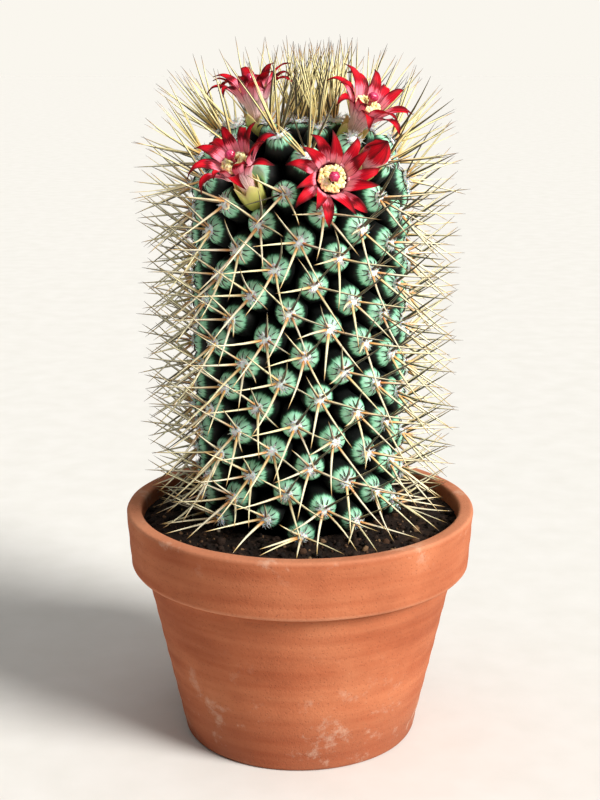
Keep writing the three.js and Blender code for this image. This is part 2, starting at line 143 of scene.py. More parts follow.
def rounded(corners, radius, steps=4):
    """A closed outline whose corners are replaced by short curves."""
    outline = []
    count = len(corners)
    for i in range(count):
        before, at, after = (np.array(corners[(i + k) % count], float) for k in (-1, 0, 1))
        cut = min(radius, np.linalg.norm(before - at) * 0.45, np.linalg.norm(after - at) * 0.45)
        start = at + (before - at) / np.linalg.norm(before - at) * cut
        end = at + (after - at) / np.linalg.norm(after - at) * cut
        for t in np.linspace(0, 1, steps + 1):
            outline.append((1 - t) ** 2 * start + 2 * t * (1 - t) * at + t * t * end)
    return np.array(outline)


def divided(outline, longest):
    """The closed outline with points added so that no stretch is longer than asked."""
    fine = []
    for a, b in zip(outline, np.roll(outline, -1, axis=0)):
        parts = max(1, int(np.ceil(np.linalg.norm(b - a) / longest)))
        fine += [a + (b - a) * k / parts for k in range(parts)]
    return np.array(fine)


def smooth_noise(points, scale, seed):
    """A soft bumpy field from -1 to 1 over points in millimetres: a few waves in seeded directions."""
    rng = np.random.default_rng(seed)
    total = np.zeros(len(points))
    for k in range(6):
        way = rng.normal(size=3)
        way /= np.linalg.norm(way)
        total += np.sin(points @ way * (2 * math.pi / scale) * rng.uniform(0.6, 1.6) + rng.uniform(0, 6.3))
    return total / 6


pot_outline = divided(rounded([
    (DRAIN_RADIUS, 0), (FOOT_RADIUS, 0), (BODY_TOP, RIM_FOOT), (RIM_RADIUS - RIM_TAPER, RIM_FOOT),
    (RIM_RADIUS, POT_HEIGHT), (INNER_RIM, POT_HEIGHT), (INNER_RIM - RIM_TAPER, RIM_FOOT + POT_WALL),
    (BODY_TOP - POT_WALL, RIM_FOOT), (FOOT_RADIUS - POT_WALL, POT_FLOOR), (DRAIN_RADIUS, POT_FLOOR),
], POT_EDGE), POT_STRETCH)
pot_points, pot_faces = lathe(pot_outline, POT_SIDES)
pot_radius = np.hypot(pot_points[:, 0], pot_points[:, 1])
outside = (pot_points[:, 2] > 1) & (pot_points[:, 2] < POT_HEIGHT - 1) & (pot_radius > FOOT_RADIUS)
climb = np.arctan2(pot_points[:, 1], pot_points[:, 0])
throwing = RIDGE_DEPTH * np.sin(pot_points[:, 2] * RIDGE_TURN + climb)
uneven = POT_UNEVEN * smooth_noise(pot_points, 26, 3) + np.where(outside, throwing, 0) - 0.1
pot_points[:, :2] *= (1 + uneven / np.maximum(pot_radius, 1))[:, None]
pot = link_mesh("pot_fired", pot_points, pot_faces)


def new_material(name, **constants):
    """A material, its surface shader with constants set on the shader's own sockets, its tree, and the
    socket that says where on the object a point is."""
    made = bpy.data.materials.new(name)
    made.use_nodes = True
    tree = made.node_tree
    surface = tree.nodes["Principled BSDF"]
    for socket, value in constants.items():
        surface.inputs[socket.replace("_", " ")].default_value = value
    return made, surface, tree, place(tree, "ShaderNodeTexCoord").outputs["Object"]


def colour(red, green, blue):
    """A colour given in display values from 0 to 255, as the shader wants it."""
    light = np.array([red, green, blue]) / 255
    linear = np.where(light <= 0.04045, light / 12.92, ((light + 0.055) / 1.055) ** 2.4)
    return (*linear.tolist(), 1.0)


def place(tree, kind, values=None, **settings):
    """A shader node with its settings, and its inputs set to values or joined to other nodes' outputs."""
    made = tree.nodes.new(kind)
    for name, value in settings.items():
        setattr(made, name, value)
    for key, value in (values or {}).items():
        if isinstance(value, bpy.types.NodeSocket):
            tree.links.new(value, made.inputs[key])
        else:
            made.inputs[key].default_value = value
    return made


def ramp(tree, factor, stops, interpolation="LINEAR"):
    """The colour output of a ramp through [position, colour] stops."""
    made = place(tree, "ShaderNodeValToRGB", {"Fac": factor})
    made.color_ramp.interpolation = interpolation
    elements = made.color_ramp.elements
    while len(elements) < len(stops):
        elements.new(0.5)
    for element, (position, shade) in zip(elements, stops):
        element.position = position
        element.color = shade
    return made.outputs["Color"]


def mixed(tree, factor, first, second, mode="MIX"):
    """The colour between two colours or sockets."""
    made = place(tree, "ShaderNodeMix", {0: factor, 6: first, 7: second}, data_type="RGBA", blend_type=mode)
    return made.outputs[2]


def maths(tree, operation, first, second=0.0, clamp=False):
    """The result of one sum on numbers or sockets."""
    made = place(tree, "ShaderNodeMath", {0: first, 1: second}, operation=operation, use_clamp=clamp)
    return made.outputs[0]


def times(tree, first, second):
    """The product of two numbers or sockets."""
    return maths(tree, "MULTIPLY", first, second)


def tinted(tree, base, tint, mask, share):
    """A base colour that a tint covers where a mask says, and there by a share."""
    return mixed(tree, times(tree, mask, share), base, tint)


def within(tree, value, start, end, low=0.0, high=1.0):
    """How far a value is from a start to an end, as a number from low to high that stops at both."""
    values = {"Value": value, "From Min": start, "From Max": end, "To Min": low, "To Max": high}
    return place(tree, "ShaderNodeMapRange", values).outputs[0]


def noise(tree, where, scale, detail, roughness=0.5):
    """A cloudy value about a half, with so many patches to the metre."""
    values = {"Vector": where, "Scale": scale, "Detail": detail, "Roughness": roughness}
    return place(tree, "ShaderNodeTexNoise", values).outputs["Fac"]


def emboss(tree, surface, height, strength, depth):
    """Relief on a surface from a height, with its depth in metres."""
    made = place(tree, "ShaderNodeBump", {"Height": height, "Strength": strength, "Distance": depth})
    tree.links.new(made.outputs[0], surface.inputs["Normal"])


def grain_group():
    """Fine irregular grain at a chosen size: a mask for pores and specks, and a height for relief."""
    tree = bpy.data.node_groups.new("mineral grain", "ShaderNodeTree")
    tree.interface.new_socket("Grains per metre", in_out="INPUT", socket_type="NodeSocketFloat")
    tree.interface.new_socket("Specks", in_out="OUTPUT", socket_type="NodeSocketFloat")
    tree.interface.new_socket("Height", in_out="OUTPUT", socket_type="NodeSocketFloat")
    given = tree.nodes.new("NodeGroupInput")
    result = tree.nodes.new("NodeGroupOutput")
    where = place(tree, "ShaderNodeTexCoord").outputs["Object"]
    scale = given.outputs["Grains per metre"]
    fine = noise(tree, where, scale, 4, 0.65)
    spots = place(tree, "ShaderNodeTexVoronoi", {"Vector": where, "Scale": scale})
    speck = within(tree, spots.outputs["Distance"], 0.08, 0.3, 1.0, 0.0)
    height = maths(tree, "SUBTRACT", fine, times(tree, speck, 0.35))
    tree.links.new(speck, result.inputs["Specks"])
    tree.links.new(height, result.inputs["Height"])
    return tree


GRAIN = grain_group()


def grain(tree, per_metre):
    """An instance of the grain group."""
    made = tree.nodes.new("ShaderNodeGroup")
    made.node_tree = GRAIN
    made.inputs["Grains per metre"].default_value = per_metre
    return made


clay, clay_surface, tree, where = new_material("fired clay", Specular_IOR_Level=0.25)
height = place(tree, "ShaderNodeSeparateXYZ", {"Vector": where}).outputs["Z"]
cloud = noise(tree, where, 28, 6, 0.6)
body = ramp(tree, cloud, [
    (0.3, colour(160, 82, 50)), (0.52, colour(184, 102, 66)), (0.72, colour(199, 122, 84))])
streaks = place(tree, "ShaderNodeMapping", {"Vector": where, "Scale": (1, 1, 14)})
bands = noise(tree, streaks.outputs[0], 16, 3)
banding = ramp(tree, bands, [(0.35, colour(150, 78, 50)), (0.65, colour(215, 145, 105))])
body = mixed(tree, 0.22, body, banding)
specks = grain(tree, 900)
body = tinted(tree, body, colour(120, 62, 42), specks.outputs["Specks"], 0.35)
damp = within(tree, height, 0.024, 0.002)
damp = times(tree, damp, ramp(tree, cloud, [(0.35, (0.2, 0.2, 0.2, 1)), (0.6, (1, 1, 1, 1))]))
body = tinted(tree, body, colour(112, 60, 42), damp, 0.55)
salt_cloud = noise(tree, where, 60, 8, 0.72)
salt = ramp(tree, salt_cloud, [(0.55, (0, 0, 0, 1)), (0.68, (1, 1, 1, 1))])
salt_low = within(tree, height, 0.05, 0.012)
salt_rim = within(tree, height, (POT_HEIGHT - 9) * MM, (POT_HEIGHT - 0.5) * MM)
salt_place = maths(tree, "MAXIMUM", salt_low, salt_rim)
salt = times(tree, times(tree, salt, salt_place), 0.5)
body = mixed(tree, salt, body, colour(226, 205, 184))
rubbed_top = within(tree, height, (POT_HEIGHT - 1.6) * MM, (POT_HEIGHT - 0.4) * MM)
from_lip = maths(tree, "ABSOLUTE", maths(tree, "SUBTRACT", height, (RIM_FOOT + 0.6) * MM))
rubbed_lip = within(tree, from_lip, 0.0012, 0.0002)
rubbed = times(tree, maths(tree, "MAXIMUM", rubbed_top, rubbed_lip), cloud)
body = tinted(tree, body, colour(224, 158, 122), rubbed, 0.7)
tree.links.new(body, clay_surface.inputs["Base Color"])
rough = within(tree, damp, 0.0, 1.0, 0.9, 0.68)
tree.links.new(rough, clay_surface.inputs["Roughness"])
relief = maths(tree, "ADD", specks.outputs["Height"], times(tree, bands, 0.8))
emboss(tree, clay_surface, relief, 0.35, 0.0006)
pot.data.materials.append(clay)
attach(pot, "root")
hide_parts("pot")


# Soil: dark peaty earth filled into the pot to just under the rim, heaped a little against the
# plant, with crumbs, grit and bits of bark on top. The stem stands in a hole in it.

SOIL_EDGE = 75
SOIL_MOUND = 1.5
FIT_GAP = 0.3
NECK_RADIUS = 25.4
NECK_FOOT = 68
STEM_BOTTOM = 61
ROOT_RADIUS = 19
SOIL_SIDES = 260
SOIL_RINGS = 52
SOIL_LUMPS = [(0.45, 17, 11), (0.3, 6, 12), (0.22, 2.6, 13)]  # height, width and seed of each size
LUMP_HEIGHT = 1.6
CRUMB_COUNT = 1100
CRUMB_SIZES = [0.35, 0.6, 1.0, 1.7]
CRUMB_SHARES = [0.42, 0.34, 0.18, 0.06]
CRUMBS_FROM_STEM = 2.4
CRUMBS_FROM_WALL = 1.2
soil_hole = NECK_RADIUS + FIT_GAP
soil_rim = INNER_RIM - FIT_GAP - RIM_TAPER * (POT_HEIGHT - SOIL_EDGE) / RIM_HEIGHT


def soil_level(x, y):
    """The height of the soil's surface, crumbled in three sizes."""
    radius = np.hypot(x, y)
    share = np.clip((radius - soil_hole) / (soil_rim - soil_hole), 0, 1)
    flat = np.stack([x, y, np.zeros_like(x)], -1).reshape(-1, 3)
    lumps = sum(high * smooth_noise(flat, wide, seed) for high, wide, seed in SOIL_LUMPS).reshape(np.shape(x))
    ease = np.minimum(1, np.minimum(radius - soil_hole, soil_rim - radius) / 2.5 + 0.25)
    return SOIL_EDGE + SOIL_MOUND * (1 - share ** 2) + LUMP_HEIGHT * lumps * ease


soil_step = (soil_rim - soil_hole) / SOIL_RINGS
soil_profile = [(soil_hole + soil_step * k, 0) for k in range(SOIL_RINGS, -1, -1)]
soil_below = [
    (FOOT_RADIUS - POT_WALL - FIT_GAP, POT_FLOOR + FIT_GAP),
    (BODY_TOP - POT_WALL - FIT_GAP, RIM_FOOT),
    (INNER_RIM - RIM_TAPER - FIT_GAP, RIM_FOOT + POT_WALL + FIT_GAP),
]
soil_hole_wall = [(soil_hole, NECK_FOOT - FIT_GAP), (ROOT_RADIUS + FIT_GAP, STEM_BOTTOM - FIT_GAP)]
soil_points, soil_faces = lathe(soil_below + soil_profile + soil_hole_wall, SOIL_SIDES, closed=False)
top = slice(len(soil_below) * SOIL_SIDES, (len(soil_below) + len(soil_profile)) * SOIL_SIDES)
soil_points[top, 2] = soil_level(soil_points[top, 0], soil_points[top, 1])
soil = link_mesh("soil_earth", soil_points, soil_faces)


def tri_sphere(rings, sides):
    """Points and faces of a unit ball."""
    points = [(0, 0, 1)]
    for r in range(1, rings):
        polar = math.pi * r / rings
        points += [(math.sin(polar) * math.cos(a), math.sin(polar) * math.sin(a), math.cos(polar))
                   for a in np.arange(sides) * 2 * math.pi / sides]
    points.append((0, 0, -1))
    last = len(points) - 1
    faces = []
    for i in range(sides):
        j = (i + 1) % sides
        faces.append((0, 1 + i, 1 + j))
        for r in range(rings - 2):
            a = 1 + r * sides
            faces.append((a + i, a + sides + i, a + sides + j, a + j))
        faces.append((last - sides + j, last - sides + i, last))
    return np.array(points, float), faces


def scattered(points_list, faces_list):
    """Many small bodies as one list of points and one of faces."""
    faces, offset = [], 0
    for points, own in zip(points_list, faces_list):
        faces += [tuple(i + offset for i in face) for face in own]
        offset += len(points)
    return np.concatenate(points_list), faces


rng = np.random.default_rng(21)
crumb_ball, crumb_faces = tri_sphere(4, 7)
crumb_points, crumb_tones = [], []
for _ in range(CRUMB_COUNT):
    size = rng.choice(CRUMB_SIZES, p=CRUMB_SHARES) * rng.uniform(0.8, 1.25)
    radius = math.sqrt(rng.uniform((soil_hole + CRUMBS_FROM_STEM) ** 2, (soil_rim - CRUMBS_FROM_WALL) ** 2))
    turn = rng.uniform(0, 2 * math.pi)
    x, y = radius * math.cos(turn), radius * math.sin(turn)
    radius = min(radius, soil_rim - size)
    lump = crumb_ball * (1 + 0.3 * smooth_noise(crumb_ball, 1.3, int(rng.integers(1 << 30))))[:, None]
    lump = lump * rng.uniform([0.8, 0.8, 0.5], [1.3, 1.3, 0.9]) * size
    spin = np.array(Quaternion(rng.normal(size=4)).normalized().to_matrix())
    level = float(soil_level(np.array(x), np.array(y)))
    at = [radius * math.cos(turn), radius * math.sin(turn), level + 0.2 * size]
    crumb_points.append(lump @ spin.T + at)
    crumb_tones += [rng.random()] * len(lump)
crumbs = link_mesh("soil_crumbs", *scattered(crumb_points, [crumb_faces] * len(crumb_points)))


def add_attribute(piece, name, values):
    """A number for each point of the mesh, for its material to read."""
    made = piece.data.attributes.new(name, "FLOAT", "POINT")
    made.data.foreach_set("value", np.asarray(values, np.float32))


def read_attribute(tree, name):
    """A mesh attribute inside a material."""
    return place(tree, "ShaderNodeAttribute", attribute_name=name).outputs["Fac"]


add_attribute(crumbs, "tone", crumb_tones)

earth, earth_surface, tree, where = new_material("peaty earth", Specular_IOR_Level=0.2, Roughness=0.95)
clods = noise(tree, where, 190, 7, 0.7)
body = ramp(tree, clods, [(0.3, colour(18, 12, 9)), (0.55, colour(44, 31, 24)), (0.75, colour(82, 61, 46))])
specks = grain(tree, 1500)
body = tinted(tree, body, colour(12, 9, 8), specks.outputs["Specks"], 0.5)
tree.links.new(body, earth_surface.inputs["Base Color"])
emboss(tree, earth_surface, maths(tree, "ADD", clods, specks.outputs["Height"]), 0.8, 0.0009)
soil.data.materials.append(earth)

grit, grit_surface, tree, _ = new_material(
    "crumbs and grit", Specular_IOR_Level=0.25, Roughness=0.92)
shade = ramp(tree, read_attribute(tree, "tone"), [
    (0.0, colour(24, 16, 12)), (0.55, colour(46, 32, 24)), (0.8, colour(78, 54, 38)),
    (0.9, colour(120, 92, 66)), (0.97, colour(176, 160, 138))], "CONSTANT")
specks = grain(tree, 2400)
shade = tinted(tree, shade, colour(20, 14, 11), specks.outputs["Specks"], 0.5)
tree.links.new(shade, grit_surface.inputs["Base Color"])
emboss(tree, grit_surface, specks.outputs["Height"], 0.6, 0.0004)
crumbs.data.materials.append(grit)
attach(soil, "root")
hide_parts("soil")
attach(crumbs, "root")


# Stem: one thick living column. Round flesh warts stand on it in spirals, one to each golden-angle
# turn, and close together, so that only furrows show between them, coloured near black as painted
# shade. The foot is buried.

FLESH_FOOT = SOIL_EDGE + SOIL_MOUND + 0.5
AXIL_RADIUS = 28.5
WIDENING = 92
WIDEST = 104
BELLY = 122
STEM_SHOULDER = 181
CROWN = 203.5
CROWN_RADIUS = 9
CROWN_DIP = 1.5
ROOT_SITES = 12
RISE = 6.6
CELL_AREA = 116
YOUNGEST = 0.36
YOUNG_COUNT = 26
GOLDEN_TURN = math.radians(137.508)
SPIRAL_PHASE = math.radians(24)
LOWEST_GROWN = 78.3


def bezier(a, b, c, d, steps=400):
    """Points of a cubic curve."""
    t = np.linspace(0, 1, steps)[:, None]
    a, b, c, d = (np.array(p, float) for p in (a, b, c, d))
    return (1 - t) ** 3 * a + 3 * t * (1 - t) ** 2 * b + 3 * t * t * (1 - t) * c + t ** 3 * d


def stem_skin(count=1500):
    """The furrow surface from the crown down: radius, height, area so far, map height and normal."""
    outline = np.concatenate([
        [(ROOT_RADIUS, STEM_BOTTOM), (NECK_RADIUS, NECK_FOOT)],
        bezier((NECK_RADIUS, SOIL_EDGE), (AXIL_RADIUS - 1, WIDENING), (AXIL_RADIUS, WIDEST),
               (AXIL_RADIUS, BELLY)),
        bezier((AXIL_RADIUS, STEM_SHOULDER), (AXIL_RADIUS, CROWN - 4), (2 * CROWN_RADIUS, CROWN + 1),
               (CROWN_RADIUS, CROWN)),
        [(0, CROWN - CROWN_DIP)],
    ])
    lengths = np.concatenate([[0], np.cumsum(np.linalg.norm(np.diff(outline, axis=0), axis=1))])
    along = (1 - np.arange(1, count) / count) * lengths[-1]
    radius = np.interp(along, lengths, outline[:, 0])
    height = np.interp(along, lengths, outline[:, 1])
    nudge = 0.05
    after = np.stack([np.interp(along + nudge, lengths, values) for values in outline.T], 1)
    before = np.stack([np.interp(along - nudge, lengths, values) for values in outline.T], 1)
    ahead = after - before
    ahead /= np.linalg.norm(ahead, axis=1)[:, None]
    stride = lengths[-1] / count
    area = np.cumsum(2 * math.pi * radius * stride)
    stretch = -np.cumsum(stride / radius)
    stretch -= stretch[np.argmax(height < BELLY)]
    return radius, height, area, stretch, ahead


skin_radius, skin_height, skin_area, skin_stretch, skin_ahead = stem_skin()


def site(step, angle, rise):
    """A place for a wart, with its spot on a ball where its neighbours can be found."""
    cos, sin = math.cos(angle), math.sin(angle)
    waist = math.cosh(skin_stretch[step])
    out, up = skin_ahead[step][1], -skin_ahead[step][0]
    return {
        "rise": rise,
        "at": np.array([skin_radius[step] * cos, skin_radius[step] * sin, skin_height[step]]),
        "normal": np.array([out * cos, out * sin, up]),
        "on_ball": (cos / waist, sin / waist, math.tanh(skin_stretch[step])),
    }


sites = []
covered = 0.0
while True:
    k = len(sites)
    share = YOUNGEST + (1 - YOUNGEST) * min(1, k / YOUNG_COUNT)
    covered += CELL_AREA * share
    step = int(np.searchsorted(skin_area, covered - CELL_AREA * share / 2, side="right"))
    if step >= len(skin_area) or skin_height[step] < NECK_FOOT - 3:
        break
    grown = skin_height[step] > LOWEST_GROWN
    sites.append(site(step, SPIRAL_PHASE + k * GOLDEN_TURN, RISE * math.sqrt(share) if grown else 0))
last = len(skin_radius) - 1
sites += [site(last, 2 * math.pi * i / ROOT_SITES, 0) for i in range(ROOT_SITES)]
sites.append({"rise": 0, "at": np.array([0, 0, skin_height[last]]), "normal": np.array([0, 0, -1.0]),
              "on_ball": (0, 0, -1)})


def site_cells():
    """The corners in the furrows that sites share, and round each site the numbers of its own, in order."""
    hull = bmesh.new()
    for one in sites:
        hull.verts.new(one["on_ball"])
    hull.verts.ensure_lookup_table()
    hull.verts.index_update()
    bmesh.ops.convex_hull(hull, input=hull.verts)
    corners, after = [], {}
    for face in hull.faces:
        ends = [vert.index for vert in face.verts]
        middle = sum((Vector(sites[i]["on_ball"]) for i in ends), Vector()) / 3
        a, b, c = (Vector(sites[i]["on_ball"]) for i in ends)
        if (b - a).cross(c - a).dot(middle) < 0:
            ends.reverse()
        corners.append(np.mean([sites[i]["at"] for i in ends], axis=0))
        for i in range(3):
            after[ends[i], ends[(i + 1) % 3]] = (len(corners) - 1, ends[(i + 2) % 3])
    hull.free()
    around = []
    for number in range(len(sites)):
        first = next(i for i in range(len(sites)) if (number, i) in after)
        ring, neighbour = [], first
        while True:
            corner, neighbour = after[number, neighbour]
            ring.append(corner)
            if neighbour == first:
                break
        around.append(ring)
    return corners, around


corners, around = site_cells()
for number, one in enumerate(sites):
    if one["rise"] > 0:
        for i in around[number]:
            corners[i][2] = max(corners[i][2], FLESH_FOOT)

# the blooms' sizes are set here because each dents the flesh that it stands in
MOUTH = 15.5
SUNK = 2.6
CUP_RADIUS = 4.1
CUP_HEIGHT = 5.6
LOBE_HEIGHT = 3.4
LOBE_TOP = CUP_HEIGHT + LOBE_HEIGHT
REACH = 14.5
BUD_TOP = CUP_HEIGHT + 13
# the room of a bloom, as [distance up its axis, radius] pairs
CUP_ROOM = [(-SUNK, CUP_RADIUS), (LOBE_TOP, CUP_RADIUS + 0.5)]
OPEN_ROOM = CUP_ROOM + [(MOUTH - 1, 6.4), (MOUTH + 1, 8.8), (MOUTH + 2, REACH), (MOUTH + 8, REACH)]
BUD_ROOM = CUP_ROOM + [(BUD_TOP, 0.5)]
# name, foot, face and roll in degrees: the foot goes to the nearest furrow corner, and the face stays
BLOOM_PLACES = [
    ("front", (7, -28, 189.5), (9.7, -42, 194.5), 8),
    ("left", (-15.5, -25, 189), (-21, -34, 200.6), 0),
    ("rear_left", (-12, -6, 203), (-14.9, -5.2, 218), 15),
    ("rear_right", (14, -11.3, 201.4), (20.5, -17.8, 213.3), 5),
    ("bud", (18.3, -17.5, 193.1), (23.5, -25.5, 200.3), 0),
]
blooms = {}
for name, wanted, face, roll in BLOOM_PLACES:
    foot = min(corners, key=lambda corner: np.linalg.norm(corner - np.array(wanted)))
    axis = Vector(face) - Vector(foot)
    turn = Vector((0, 0, 1)).rotation_difference(axis) @ Quaternion((0, 0, 1), math.radians(roll))
    room = BUD_ROOM if name == "bud" else OPEN_ROOM
    blooms[name] = {
        "foot": foot.copy(),
        "axis": np.array(axis.normalized()),
        "turn": np.array(turn.to_matrix()),
        "room": np.array(room),
    }


def in_bloom(points, margin=0.0):
    """Whether each point lies in the room that a bloom takes, or nearer to it than the margin."""
    inside = np.zeros(len(points), bool)
    for bloom in blooms.values():
        offset = points - bloom["foot"]
        along = offset @ bloom["axis"]
        across = np.linalg.norm(offset - along[:, None] * bloom["axis"], axis=1)
        heights, widths = bloom["room"].T
        width = np.interp(along, heights, widths) + margin
        inside |= (along > heights[0]) & (along < heights[-1]) & (across < width)
    return inside


CROWDED = 6.5  # how far from a bloom's axis the flesh is pushed aside


def clear_of_sockets(points):
    """Crowds the flesh round each bloom's cup outwards, and sinks what lies under the cup."""
    points = points.copy()
    for bloom in blooms.values():
        offset = points - bloom["foot"]
        along = offset @ bloom["axis"]
        across = offset - along[:, None] * bloom["axis"]
        radius = np.linalg.norm(across, axis=1)
        floor = -SUNK - FIT_GAP
        swell = np.interp(along, [floor, floor + 1.6, CUP_HEIGHT * 0.5], [0.6, 0.92, 1.03])
        wall = (CUP_RADIUS + FIT_GAP) * swell
        near = (along > floor) & (along < MOUTH - 2) & (radius < CROWDED)
        down = near & (radius < wall * 0.5) & (along < 3)
        out = near & ~down
        points[down] += (floor - along[down])[:, None] * bloom["axis"]
        crowded = wall[out] + radius[out] * (CROWDED - wall[out]) / CROWDED
        unit = across[out] / np.maximum(radius[out], 1e-6)[:, None]
        points[out] += unit * (crowded - radius[out])[:, None]
    return points


def upright(normal):
    """Two unit vectors square to a normal, the first as level as can be."""
    side = np.cross([0, 0, 1.0], normal)
    if np.linalg.norm(side) < 1e-3:
        side = np.array([1.0, 0, 0])
    side /= np.linalg.norm(side)
    return side, np.cross(normal, side)


# the wart's shape from furrow to areole: share of the way out, share of the rise, how round the ring is
WART_RINGS = [
    (0.975, 0.04, 0.1), (0.935, 0.12, 0.3), (0.9, 0.23, 0.55), (0.87, 0.36, 0.75), (0.84, 0.49, 0.88),
    (0.795, 0.61, 0.95), (0.73, 0.72, 1), (0.645, 0.81, 1), (0.54, 0.88, 1), (0.43, 0.93, 1),
    (0.32, 0.965, 1), (0.22, 0.985, 1), (0.12, 0.99, 1),
]
EDGE_PARTS = 5
WART_SWELL = 0.035
BESIDE_BLOOM = 0.5  # a wart with a bloom on its areole stays low
flesh_points, flesh_faces = [], []
flesh_values = {"rise": [], "out": [], "tone": [], "facing_x": [], "facing_y": []}
shared = {}


def flesh_point(at, rise, out, tone, facing=(0.0, 0.0)):
    """Adds one point of the flesh with what its material reads, and returns its number."""
    flesh_points.append(at)
    for name, value in zip(flesh_values, (rise, out, tone, *facing)):
        flesh_values[name].append(value)
    return len(flesh_points) - 1


rng = np.random.default_rng(5)
for number, one in enumerate(sites):
    ring = around[number]
    rim = []
    for a, b in zip(ring, ring[1:] + ring[:1]):
        for part in range(EDGE_PARTS):
            key = (min(a, b), max(a, b), part if a < b else EDGE_PARTS - part) if part else (a, 0)
            if key not in shared:
                at = corners[a] + (corners[b] - corners[a]) * part / EDGE_PARTS
                shared[key] = flesh_point(at, 0.0, 1.0, 0.5)
            rim.append(shared[key])
    count = len(rim)
    tone = rng.random()
    if one["rise"] == 0:
        middle = flesh_point(one["at"], 0.0, 1.0, 0.5)
        flesh_faces += [(rim[i], rim[(i + 1) % count], middle) for i in range(count)]
        continue
    sides = np.array([flesh_points[i] for i in rim]) - one["at"]
    lift = sides @ one["normal"]
    flat = sides - lift[:, None] * one["normal"]
    reach = np.linalg.norm(flat, axis=1)
    swell = 1 + WART_SWELL * smooth_noise(flat + number, 5, number)
    pressed = in_bloom([one["at"] + one["normal"] * one["rise"]], 0.9)[0]
    summit = one["rise"] * (BESIDE_BLOOM if pressed else 1)
    one["summit"] = one["at"] + one["normal"] * summit
    side, over = upright(one["normal"])
    facing = np.stack([flat @ side, flat @ over], 1) / reach[:, None]
    outer = rim
    for out, up, roundness in WART_RINGS:
        width = reach * (1 - roundness) + reach.mean() * roundness
        at = (one["at"] + flat / reach[:, None] * (width * out)[:, None]
              + one["normal"] * (lift * out * (1 - up) + summit * up * swell)[:, None])
        at[:, 2] = np.maximum(at[:, 2], FLESH_FOOT)
        inner = [flesh_point(p, up, out, tone, way) for p, way in zip(at, facing)]
        for i in range(count):
            j = (i + 1) % count
            flesh_faces.append((outer[i], outer[j], inner[j], inner[i]))
        outer = inner
    middle = flesh_point(one["at"] + one["normal"] * summit * 0.99, 0.99, 0.0, tone)
    flesh_faces += [(outer[i], outer[(i + 1) % count], middle) for i in range(count)]

stem = link_mesh("stem_flesh", clear_of_sockets(np.array(flesh_points)), flesh_faces)
for name, values in flesh_values.items():
    add_attribute(stem, name, values)


def swing(tree, value, width):
    """A value that lies about a half, turned into one about nought and as wide as asked."""
    return times(tree, maths(tree, "SUBTRACT", value, 0.5), width)


flesh, flesh_surface, tree, where = new_material(
    "cactus flesh", Subsurface_Weight=0.06, Subsurface_Scale=0.003)
rise = read_attribute(tree, "rise")
mottle = noise(tree, where, 260, 5, 0.6)
tone = read_attribute(tree, "tone")
round_wart = place(tree, "ShaderNodeCombineXYZ", {
    "X": read_attribute(tree, "facing_x"), "Y": read_attribute(tree, "facing_y"),
    "Z": times(tree, tone, 60.0)})
striae = noise(tree, round_wart.outputs[0], 7, 4, 0.7)
uneven = swing(tree, mottle, 0.24)
fringe = swing(tree, striae, 0.5)
fringe = times(tree, fringe, read_attribute(tree, "out"))
level = maths(tree, "ADD", maths(tree, "ADD", rise, uneven), fringe)
# painted shade: the stops below about 0.72 colour the furrows and the lower flanks of the warts near black,
# as the shadow between them, and the fringe gives that shade a ragged edge; above them is the warts' own pale
# green
skin_and_furrow_shade = ramp(tree, level, [
    (0.1, colour(2, 3, 3)), (0.64, colour(6, 12, 8)), (0.72, colour(42, 86, 62)),
    (0.785, colour(136, 204, 166)), (0.87, colour(180, 240, 206)), (1.0, colour(196, 246, 218))])
skin_and_furrow_shade = mixed(tree, times(tree, tone, 0.3), skin_and_furrow_shade, colour(214, 232, 216), "MULTIPLY")
freckle = grain(tree, 1700)
disc = within(tree, level, 0.76, 0.88, 0.0, 0.2)
freckled = times(tree, freckle.outputs["Specks"], disc)
skin_and_furrow_shade = mixed(tree, freckled, skin_and_furrow_shade, colour(214, 240, 222))
tree.links.new(skin_and_furrow_shade, flesh_surface.inputs["Base Color"])
rough = within(tree, mottle, 0.0, 1.0, 0.42, 0.66)
furrow = within(tree, rise, 0.55, 0.1)
tree.links.new(maths(tree, "ADD", rough, times(tree, furrow, 0.4), clamp=True),
               flesh_surface.inputs["Roughness"])
shine = within(tree, furrow, 0.0, 1.0, 0.4, 0.0)
tree.links.new(shine, flesh_surface.inputs["Specular IOR Level"])
pores = maths(tree, "ADD", mottle, freckle.outputs["Height"])
emboss(tree, flesh_surface, maths(tree, "ADD", fringe, pores), 0.25, 0.0004)
stem.data.materials.append(flesh)
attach(stem, "root")
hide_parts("stem")


# Wool: each wart ends in an areole, a small pad of white felt from which the spines come. The felt
# is a low cushion with short crimped hairs, thicker and whiter on the young warts of the crown.

areoles = []
for number, one in enumerate(sites):
    if one["rise"] > 0 and one["summit"][2] > FLESH_FOOT + 0.8 and not in_bloom([one["summit"]], 1.2)[0]:
        areoles.append((one["summit"], one["normal"], number))


def youth(top):
    """How near a wart's areole is to the crown, from nought on the column's side to one."""
    return np.clip((top[2] - STEM_SHOULDER) / (CROWN - STEM_SHOULDER), 0, 1)


def strand(path, radii, sides):
    """Points and faces of a thin tapering body along a path, closed at both ends."""
    path = np.asarray(path, float)
    ahead = np.gradient(path, axis=0)
    ahead /= np.linalg.norm(ahead, axis=1)[:, None]
    level = np.cross(ahead[0], [0, 0, 1.0])
    if np.linalg.norm(level) < 0.05:
        level = np.array([1.0, 0, 0])
    level = level - ahead * (ahead @ level)[:, None]
    level /= np.linalg.norm(level, axis=1)[:, None]
    above = np.cross(level, ahead)
    turns = np.arange(sides) * 2 * math.pi / sides
    rings = path[:, None] + np.asarray(radii)[:, None, None] * (
        np.cos(turns)[None, :, None] * level[:, None] + np.sin(turns)[None, :, None] * above[:, None])
    return rings.reshape(-1, 3), ring_faces(len(path), sides)


